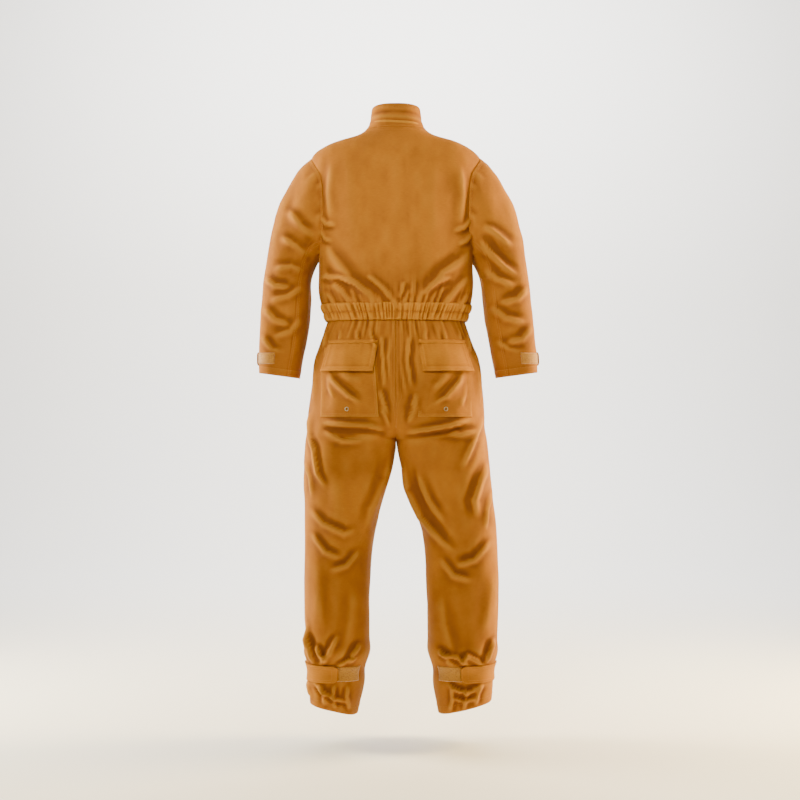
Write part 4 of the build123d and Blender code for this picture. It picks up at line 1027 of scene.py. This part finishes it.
def patch(surface, lift, near, far, low, high, out, step=3.0 * MM, flip=False):
    """A grid on a surface between two distances and two heights, lifted as the cloth below is, and out from it.

    near and far are distances, or tuples of (height, distance) pairs where an edge leans. out is a function of
    the distances to the near, far, low and high edges and of the points. flip counts the columns the other way
    round, for surfaces whose angle falls as x grows.
    """
    z = np.linspace(low, high, max(int((high - low) / step), 3))
    near, far = (np.interp(z, *zip(*edge)) if isinstance(edge, tuple) else np.full(len(z), edge)
                 for edge in (near, far))
    x = spread_x(surface, near, far, z, max(int((far - near).max() / step), 3))
    rise = np.broadcast_to(z[None], x.shape)
    base = surface(x, rise, CLOTH)
    run = np.cumsum(np.linalg.norm(np.diff(base, axis=0), axis=-1), axis=0)
    from_near = np.concatenate([np.zeros((1, len(z))), run])
    edges = (from_near, run[-1:] - from_near, rise - low, high - rise)
    if flip:
        base, edges = base[::-1], tuple(e[::-1] for e in edges)
    normals = normals_of(base)
    heights = lift(base, normals) + out(edges, base)
    points, normals = lifted(base, heights)
    return points, normals, heights


def seat_lift(points, normals):
    """The left half's lift, which both pockets share so that they stay on the cloth."""
    return trouser_lift("left", points, normals)


def sewn_edges(grid, normals, inset, which="nflh", lines=(0.0,)):
    """Stitch rows along a patch's edges, inset by so many grid steps; which names near, far, low and high."""
    columns, rows = grid.shape[:2]
    made = []
    for extra in lines:
        k = inset + extra
        i, j = np.arange(k, columns - 1 - k + 0.01), np.arange(k, rows - 1 - k + 0.01)
        for edge, a, b in (("n", k, j), ("f", columns - 1 - k, j), ("l", i, k), ("h", i, rows - 1 - k)):
            if edge in which:
                made.append(stitches(grid, normals, a, b, 3.6 * MM, 2.8 * MM, 1.1 * MM, 0.6 * MM))
    return made


REAR = {"low": -0.768, "mouth": -0.584, "hinge": -0.576, "flap": 0.072}
# The inner and outer edges of each rear pocket and flap, as (height, distance from the centre).
REAR_POCKET = {
    "left": (
        ((-0.768, 0.043), (-0.648, 0.052), (-0.584, 0.053)), ((-0.768, 0.1985), (-0.660, 0.1985), (-0.584, 0.188))
    ),
    "right": (
        ((-0.768, 0.055), (-0.648, 0.066), (-0.584, 0.060)), ((-0.768, 0.2005), (-0.660, 0.2010), (-0.584, 0.190))
    ),
}
REAR_FLAP = {
    "left": (((-0.648, 0.0600), (-0.576, 0.0470)), ((-0.648, 0.1930), (-0.576, 0.1780))),
    "right": (((-0.650, 0.0700), (-0.576, 0.0580)), ((-0.650, 0.2010), (-0.576, 0.1820))),
}
REAR_HEADING = (-0.5752, -0.5650)  # lower and upper edge of the strip that carries each rear flap
EYELET = (0.1288, -0.745)
EYELET_HOLE = 3.4 * MM
CHEST = {"near": 0.048, "far": 0.168, "low": -0.340, "mouth": -0.198}
CHEST_FLAP = (0.0455, 0.1705, -0.242, -0.1905)
CHEST_HEADING = (0.046, 0.170, -0.189, -0.178)


def rear_pocket(side):
    """Patch pocket on the seat: a slack bag sewn on three edges, its mouth under the flap, and an eyelet below."""
    folds_in = {
        "left": [
            (1, 11, 9, -0.9, 186, -640, 162, -672, 120, -712, 82, -738),
            (1, 8, 6, 0.8, 180, -650, 176, -690, 160, -722), (1, 14, 5, -0.5, 150, -640, 120, -662, 80, -672),
        ],
        "right": [
            (1, 12, 9, -0.9, 186, -640, 160, -678, 128, -716, 90, -742),
            (1, 9, 7, 0.8, 190, -672, 182, -712, 164, -748), (1, 12, 5, -0.6, 140, -640, 112, -680, 90, -700),
        ],
    }[side]

    def out(edges, base):
        near, far, low, high = edges
        sewn = np.minimum(np.minimum(near, far), low)
        bag = ease((sewn - 0.010) / 0.035) * (0.25 + 0.75 * ease((-0.640 - base[..., 2]) / 0.04))
        eyelet = np.hypot(base[..., 0] - EYELET[0], base[..., 2] - EYELET[1])
        creases = folds(base[..., 0], base[..., 2], 1 + 0 * near, folds_in)
        slack = 0.0028 * bag + creases * bag * ease((eyelet - 0.010) / 0.02)
        hem = 0.0010 * ease((0.024 - high) / 0.0012)
        return 0.0008 + 0.0016 * ease(sewn / 0.0022) + np.maximum(slack, 0) + hem

    points, normals, heights = patch(seat_back, seat_lift, *REAR_POCKET[side], REAR["low"], REAR["mouth"], out,
                                     step=2.6 * MM, flip=True)
    mid = (points[:-1, :-1] + points[1:, 1:]) / 2
    open_at = np.hypot(mid[..., 0] - EYELET[0], mid[..., 2] - EYELET[1]) > EYELET_HOLE
    piece = sheet_object(f"{side}_rear_pocket_cloth", mirrored(side, points), SHELL, wall=1.3 * MM,
                         keep=counted(side, open_at), tone=counted(side, crests(heights)))
    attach(piece, "trunk")
    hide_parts(f"{side}_rear_pocket")
    made = sewn_edges(points, normals, 1.0, "nfl", (0.0, 2.2))
    made.append(stitches(points, normals, np.arange(1, points.shape[0] - 1), points.shape[1] - 9.0))
    line = beads_object(f"{side}_rear_pocket_stitching", on_side(side, made), THREAD)
    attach(line, "trunk")
    inner, outer = (edge[-1][1] for edge in REAR_FLAP[side])
    heading, h_normals, _ = patch(
        seat_back, seat_lift, inner, outer, *REAR_HEADING,
        lambda e, b: 0.0006 + 0.0030 * ease(np.minimum(np.minimum(e[0], e[1]), e[3]) / 0.004), step=2.2 * MM, flip=True,
    )
    strip = sheet_object(f"{side}_rear_pocket_heading", mirrored(side, heading), TRIM, wall=1.5 * MM)
    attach(strip, "trunk")
    made = sewn_edges(heading, h_normals, 0.8, "nfh")
    line = beads_object(f"{side}_rear_heading_stitching", on_side(side, made), THREAD)
    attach(line, "trunk")
    eyelet_ring(side, points, normals)
    limits = (*REAR_FLAP[side], REAR["hinge"] - REAR["flap"], REAR["hinge"])
    flap(side, "rear", seat_back, seat_lift, limits, True, 0.0036)


def eyelet_ring(side, points, normals):
    """A spurred eyelet: a rolled rim, as a profile turned about the hole's own axis."""
    away = np.hypot(points[..., 0] - EYELET[0], points[..., 2] - EYELET[1])
    i, j = np.unravel_index(np.argmin(away), away.shape)
    centre, axis = points[i, j], normals[i, j]
    side_way = np.cross([0, 0, 1.0], axis)
    side_way /= np.linalg.norm(side_way)
    up = np.cross(axis, side_way)
    turn = np.linspace(0, 2 * math.pi, 41)
    profile = np.linspace(-0.25 * math.pi, 1.25 * math.pi, 15)
    radius = 4.4 * MM + 1.35 * MM * np.cos(profile)
    height = 0.1 * MM + 1.0 * MM * np.sin(profile)
    ring = (
        centre
        + (radius[None, :, None] * (np.cos(turn)[:, None, None] * side_way + np.sin(turn)[:, None, None] * up))
        + height[None, :, None] * axis
    )
    piece = sheet_object(f"{side}_eyelet", mirrored(side, ring), EYELET_METAL, weld=np.ones(15, bool))
    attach(piece, "trunk")
    if side == "left":
        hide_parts("rear_pocket_eyelets")


def flap(side, name, surface, lift, limits, flip, out_at):
    """A loose flap: straight along its hinge, a little fuller at its middle and standing off at its lower edge."""
    near, far, low, high = limits

    def out(edges, base):
        n, f, down, up = edges
        belly = 0.0020 * ease(up / 0.03) * ease(np.minimum(n, f) / 0.03)
        curl = 0.0016 * ease((0.014 - down) / 0.014) + 0.0050 * ease(up / 0.07)
        hem = 0.0007 * ease((0.012 - np.minimum(np.minimum(n, f), down)) / 0.001)
        sway = 0.0016 * value_noise(base, (0.05, 0.05, 0.05), 17) * ease(up / 0.03)
        return out_at + belly + curl + hem + sway

    points, normals, heights = patch(surface, lift, near, far, low, high, out, step=2.6 * MM, flip=flip)
    piece = sheet_object(f"{side}_{name}_flap_cloth", mirrored(side, points), TRIM, wall=1.7 * MM,
                         tone=counted(side, crests(heights)))
    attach(piece, f"{side}_{name}_flap")
    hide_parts(f"{side}_{name}_flap")
    made = sewn_edges(points, normals, 1.0, "nfl", (0.0, 2.4))
    line = beads_object(f"{side}_{name}_flap_stitching", on_side(side, made), THREAD)
    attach(line, f"{side}_{name}_flap")


def chest_pocket(side):
    """Patch pocket on the front with its heading and flap."""

    def out(edges, base):
        near, far, low, high = edges
        sewn = np.minimum(np.minimum(near, far), low)
        bag = ease((sewn - 0.008) / 0.03)
        hem = 0.0010 * ease((0.020 - high) / 0.0012)
        return 0.0008 + 0.0016 * ease(sewn / 0.0022) + 0.0020 * bag + hem

    points, normals, _ = patch(body_front, body_lift, *CHEST.values(), out, step=2.8 * MM)
    piece = sheet_object(f"{side}_chest_pocket_cloth", mirrored(side, points), SHELL, wall=1.3 * MM)
    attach(piece, "trunk")
    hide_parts(f"{side}_chest_pocket")
    made = sewn_edges(points, normals, 1.0, "nfl", (0.0, 2.2))
    made.append(stitches(points, normals, np.arange(1, points.shape[0] - 1), points.shape[1] - 8.0))
    heading, h_normals, _ = patch(
        body_front, body_lift, *CHEST_HEADING,
        lambda e, b: 0.0006 + 0.0034 * ease(np.minimum(np.minimum(e[0], e[1]), e[3]) / 0.004), step=2.2 * MM,
    )
    strip = sheet_object(f"{side}_chest_pocket_heading", mirrored(side, heading), TRIM, wall=1.5 * MM)
    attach(strip, "trunk")
    made += sewn_edges(heading, h_normals, 0.8, "nfh")
    line = beads_object(f"{side}_chest_pocket_stitching", on_side(side, made), THREAD)
    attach(line, "trunk")
    flap(side, "chest", body_front, body_lift, CHEST_FLAP, False, 0.0040)


# ---------------------------------------------------------------- pieces: closing tabs
def band(point, lift, turns, heights, out, step=2.4 * MM):
    """A strap round a limb between two angles and two heights, at a distance from the cloth."""
    t = np.linspace(*turns, max(int(abs(turns[1] - turns[0]) * 0.07 / step), 4))
    z = np.linspace(*heights, max(int((heights[1] - heights[0]) / step), 4))
    base = point(t[:, None] + 0 * z[None], z[None] + 0 * t[:, None])
    run = np.concatenate([np.zeros((1, len(z))), np.cumsum(np.linalg.norm(np.diff(base, axis=0), axis=-1), axis=0)])
    edges = (run, run[-1:] - run, z[None] - heights[0] + 0 * run, heights[1] - z[None] + 0 * run)
    points, normals = lifted(base, lift(base, normals_of(base)) + out(edges))
    return points, normals


def closing(side, name, body, point, lift, middle, wide, base, strap, pad):
    """A closing tab: its sewn base, the strap that swings on it, and the loop patch under the strap's end.

    The strap's free end has its corners cut off by drawing in its rows over the last centimetre.
    """
    low, high = middle - wide / 2, middle + wide / 2

    def rim(e, size):
        return ease(np.minimum.reduce(e) / size)

    for part, turns, heights, out, material, wall, rides, slot in (
        ("tab_base", base, (low, high), lambda e: 0.0008 + 0.0024 * rim(e, 0.002), TRIM, 1.7 * MM, body, "shell_cloth"),
        ("tab", strap, (low, high), lambda e: 0.0040 + 0.0006 * rim(e, 0.003) + 0.0014 * ease((0.012 - e[1]) / 0.012),
         TRIM, 1.8 * MM, f"{side}_{name}_tab", "shell_cloth"),
        ("loop_patch", pad, (low + 0.003, high - 0.003), lambda e: 0.0005 + 0.0012 * rim(e, 0.002),
         LOOP, 1.2 * MM, body, "loop_pile"),
    ):
        points, normals = band(point, lift, turns, heights, out)
        if part == "tab":
            run = np.cumsum(np.linalg.norm(np.diff(points[:, 0], axis=0), axis=-1))
            left = (run[-1] - np.concatenate([[0], run]))[:, None]
            centre_z = points[..., 2].mean(axis=1, keepdims=True)
            squeeze = 1 - 0.28 * ease((0.012 - left) / 0.012)
            points[..., 2] = centre_z + (points[..., 2] - centre_z) * squeeze
            normals = normals_of(points)
        piece = sheet_object(f"{side}_{name}_{part}_cloth", mirrored(side, points), material, wall=wall)
        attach(piece, rides)
        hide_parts(f"{side}_{name}_{part}")
        lines = (0.0, 2.0) if part == "tab" else (0.0,)
        made = sewn_edges(points, normals, 1.0, "nflh", lines)
        if part == "tab_base":
            k = points.shape[0] // 2
            made.append(stitches(points, normals, k, np.arange(1, points.shape[1] - 1), 3.4 * MM, 2.6 * MM))
        line = beads_object(f"{side}_{name}_{part}_stitching", on_side(side, made), THREAD)
        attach(line, rides)


def limb_tabs(side):
    """The cuff's tab, hinged at the front of the sleeve, and the ankle's, hinged at the outer seam."""
    deep = level(SLEEVE[side], CUFF_TAB_Z, 3)
    near, hinge = (-math.asin((ahead / deep) ** (1 / SQUARE)) for ahead in (0.044, 0.034))
    closing(
        side, "cuff", f"{side}_arm", lambda t, z: sleeve_point(side, t, z, CLOTH),
        lambda p, n: sleeve_lift(side, p, n), CUFF_TAB_Z, 0.036,
        (near - 0.10, hinge - 0.13), (hinge + 0.11, 0.10), (-0.03, 1.45),
    )
    closing(
        side, "ankle", f"{side}_leg", lambda t, z: trouser_point(side, t / math.pi, z, CLOTH),
        lambda p, n: trouser_lift(side, p, n), ANKLE_TAB_Z, 0.046, (-0.010, 0.018), (0.035, 1.62), (1.60, 2.42),
    )


def throat_tab():
    """The collar's tab across the zip, hinged on the wearer's left, with its loop patch on the right."""
    low, high = -0.046, -0.020
    for part, near, far, lift_out, material, wall, rides, slot in (
        ("throat_tab_base", 0.0354, 0.0440, 0.0034, TRIM, 1.7 * MM, "trunk", "shell_cloth"),
        ("throat_tab", -0.0420, 0.0340, 0.0036, TRIM, 1.7 * MM, "throat_tab", "shell_cloth"),
        ("throat_loop_patch", -0.0480, -0.0120, 0.0012, LOOP, 1.2 * MM, "trunk", "loop_pile"),
    ):
        inset = 0.0025 if part == "throat_loop_patch" else 0.0
        points, normals, _ = patch(
            body_front, lambda p, n: 0 * p[..., 0], near, far, low + inset, high - inset,
            lambda e, b: lift_out + 0.0006 * ease(np.minimum.reduce(e) / 0.002),
            step=1.7 * MM,
        )
        piece = sheet_object(f"{part}_cloth", points, material, wall=wall)
        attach(piece, rides)
        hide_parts(part)
        line = beads_object(f"{part}_stitching", sewn_edges(points, normals, 1.2, "nflh"), THREAD)
        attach(line, rides)


# ---------------------------------------------------------------- pieces: zip
def front_strip(name, near, far, out, low, high, node, material, wall):
    """A flat strip that follows the straight centre front between two distances and heights."""
    z = np.linspace(low, high, 170)
    x = np.linspace(near, far, 8)
    points = np.stack(np.broadcast_arrays(x[:, None], front_line(z)[None] - out, z[None]), axis=-1)
    piece = sheet_object(name, points, material, wall=wall)
    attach(piece, "trunk")
    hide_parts(node)


def zip_parts():
    """Woven tapes behind both front edges, a guard behind them, and the metal, which keeps its own shape."""
    front_strip("left_tape", 0.0030, 0.0180, -0.0001, ZIP_BOTTOM_Z, ZIP_TOP_Z, "left_zipper_tape", TAPE, 0.8 * MM)
    front_strip("right_tape", -0.0180, -0.0030, -0.0001, ZIP_BOTTOM_Z, ZIP_TOP_Z, "right_zipper_tape", TAPE, 0.8 * MM)
    front_strip("guard_cloth", -0.0180, 0.0240, -0.0044, -0.756, -0.072, "zip_guard", SHELL, 1.0 * MM)
    for node in ("left_zipper_teeth", "right_zipper_teeth", "zipper_stops", "top_slider", "bottom_slider",
                 "top_slider_pull", "bottom_slider_pull"):
        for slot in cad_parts[node].material_slots:
            slot.material = ZIP_METAL


bodice()
collar()
hanger()
waist()
for side in SIDES:
    trouser_half(side)
    sleeve(side)
    rear_pocket(side)
    chest_pocket(side)
    limb_tabs(side)
throat_tab()
zip_parts()


# ---------------------------------------------------------------- floor, light and camera
def backdrop():
    """A pale seamless sweep: level under the garment, then a quarter circle up to an upright wall far behind it."""
    material, tree, shader = begin("pale_floor")
    place = add(tree, "ShaderNodeTexCoord").outputs["Object"]
    soft = add(tree, "ShaderNodeTexNoise", Vector=place, Scale=0.8).outputs["Fac"]
    tree.links.new(ramp(tree, soft, linear("#f4f3f0"), linear("#f8f7f5")), shader.inputs["Base Color"])
    shader.inputs["Roughness"].default_value = 0.9
    low, top, wall, radius, half = -1.64, 8.0, -5.0, 1.6, 14.0
    turn = np.linspace(0, math.pi / 2, 24)
    y = np.concatenate([[half], wall + radius - radius * np.sin(turn), [wall]])
    z = np.concatenate([[low], low + radius - radius * np.cos(turn), [top]])
    x = np.linspace(half, -half, 3)
    sweep = np.stack(np.broadcast_arrays(x[None], y[:, None], z[:, None]), axis=-1)
    sheet_object("sweep", sweep, material)


def area_light(name, place, target, size, power, colour, spread=180):
    """A soft rectangular light that looks at a point."""
    lamp = bpy.data.lights.new(name, "AREA")
    lamp.shape, lamp.size, lamp.size_y = "RECTANGLE", size[0], size[1]
    lamp.energy, lamp.color, lamp.spread = power, linear(colour)[:3], math.radians(spread)
    light = bpy.data.objects.new(name, lamp)
    bpy.context.scene.collection.objects.link(light)
    ahead = np.array(target, float) - np.array(place, float)
    turn = math.atan2(ahead[1], ahead[0])
    pitch = math.atan2(ahead[2], math.hypot(ahead[0], ahead[1]))
    light.location = place
    light.rotation_euler = (math.pi / 2 + pitch, 0, turn - math.pi / 2)


backdrop()
area_light("side_left", (1.95, -0.42, -0.10), (0, -0.05, -0.75), (0.6, 2.2), 150, "#ffefc8")
area_light("side_right", (-1.95, -0.34, -0.15), (0, -0.05, -0.75), (0.6, 2.2), 190, "#ffe09a")
area_light("over_back", (0.75, 2.2, 0.95), (0, 0, -0.28), (0.5, 0.5), 5.6, "#fff2dc", 44)
area_light("over_front", (-0.9, -2.6, 1.6), (0, 0, -0.45), (1.6, 1.6), 10, "#fff4e4")
area_light("wall_wash", (0, -2.4, 2.2), (0, -5.0, -0.2), (4.0, 0.8), 470, "#ffffff")

world = bpy.data.worlds.new("studio")
world.use_nodes = True
world.node_tree.nodes["Background"].inputs["Color"].default_value = (1.0, 1.0, 1.0, 1)
world.node_tree.nodes["Background"].inputs["Strength"].default_value = 0.27
bpy.context.scene.world = world

lens = bpy.data.cameras.new("camera")
lens.lens, lens.sensor_width = 59.4, 36.0
camera = bpy.data.objects.new("camera", lens)
camera.location = (-0.0106, 3.5, -0.723)
camera.rotation_euler = (math.pi / 2, 0, math.pi)
bpy.context.scene.collection.objects.link(camera)
bpy.context.scene.camera = camera
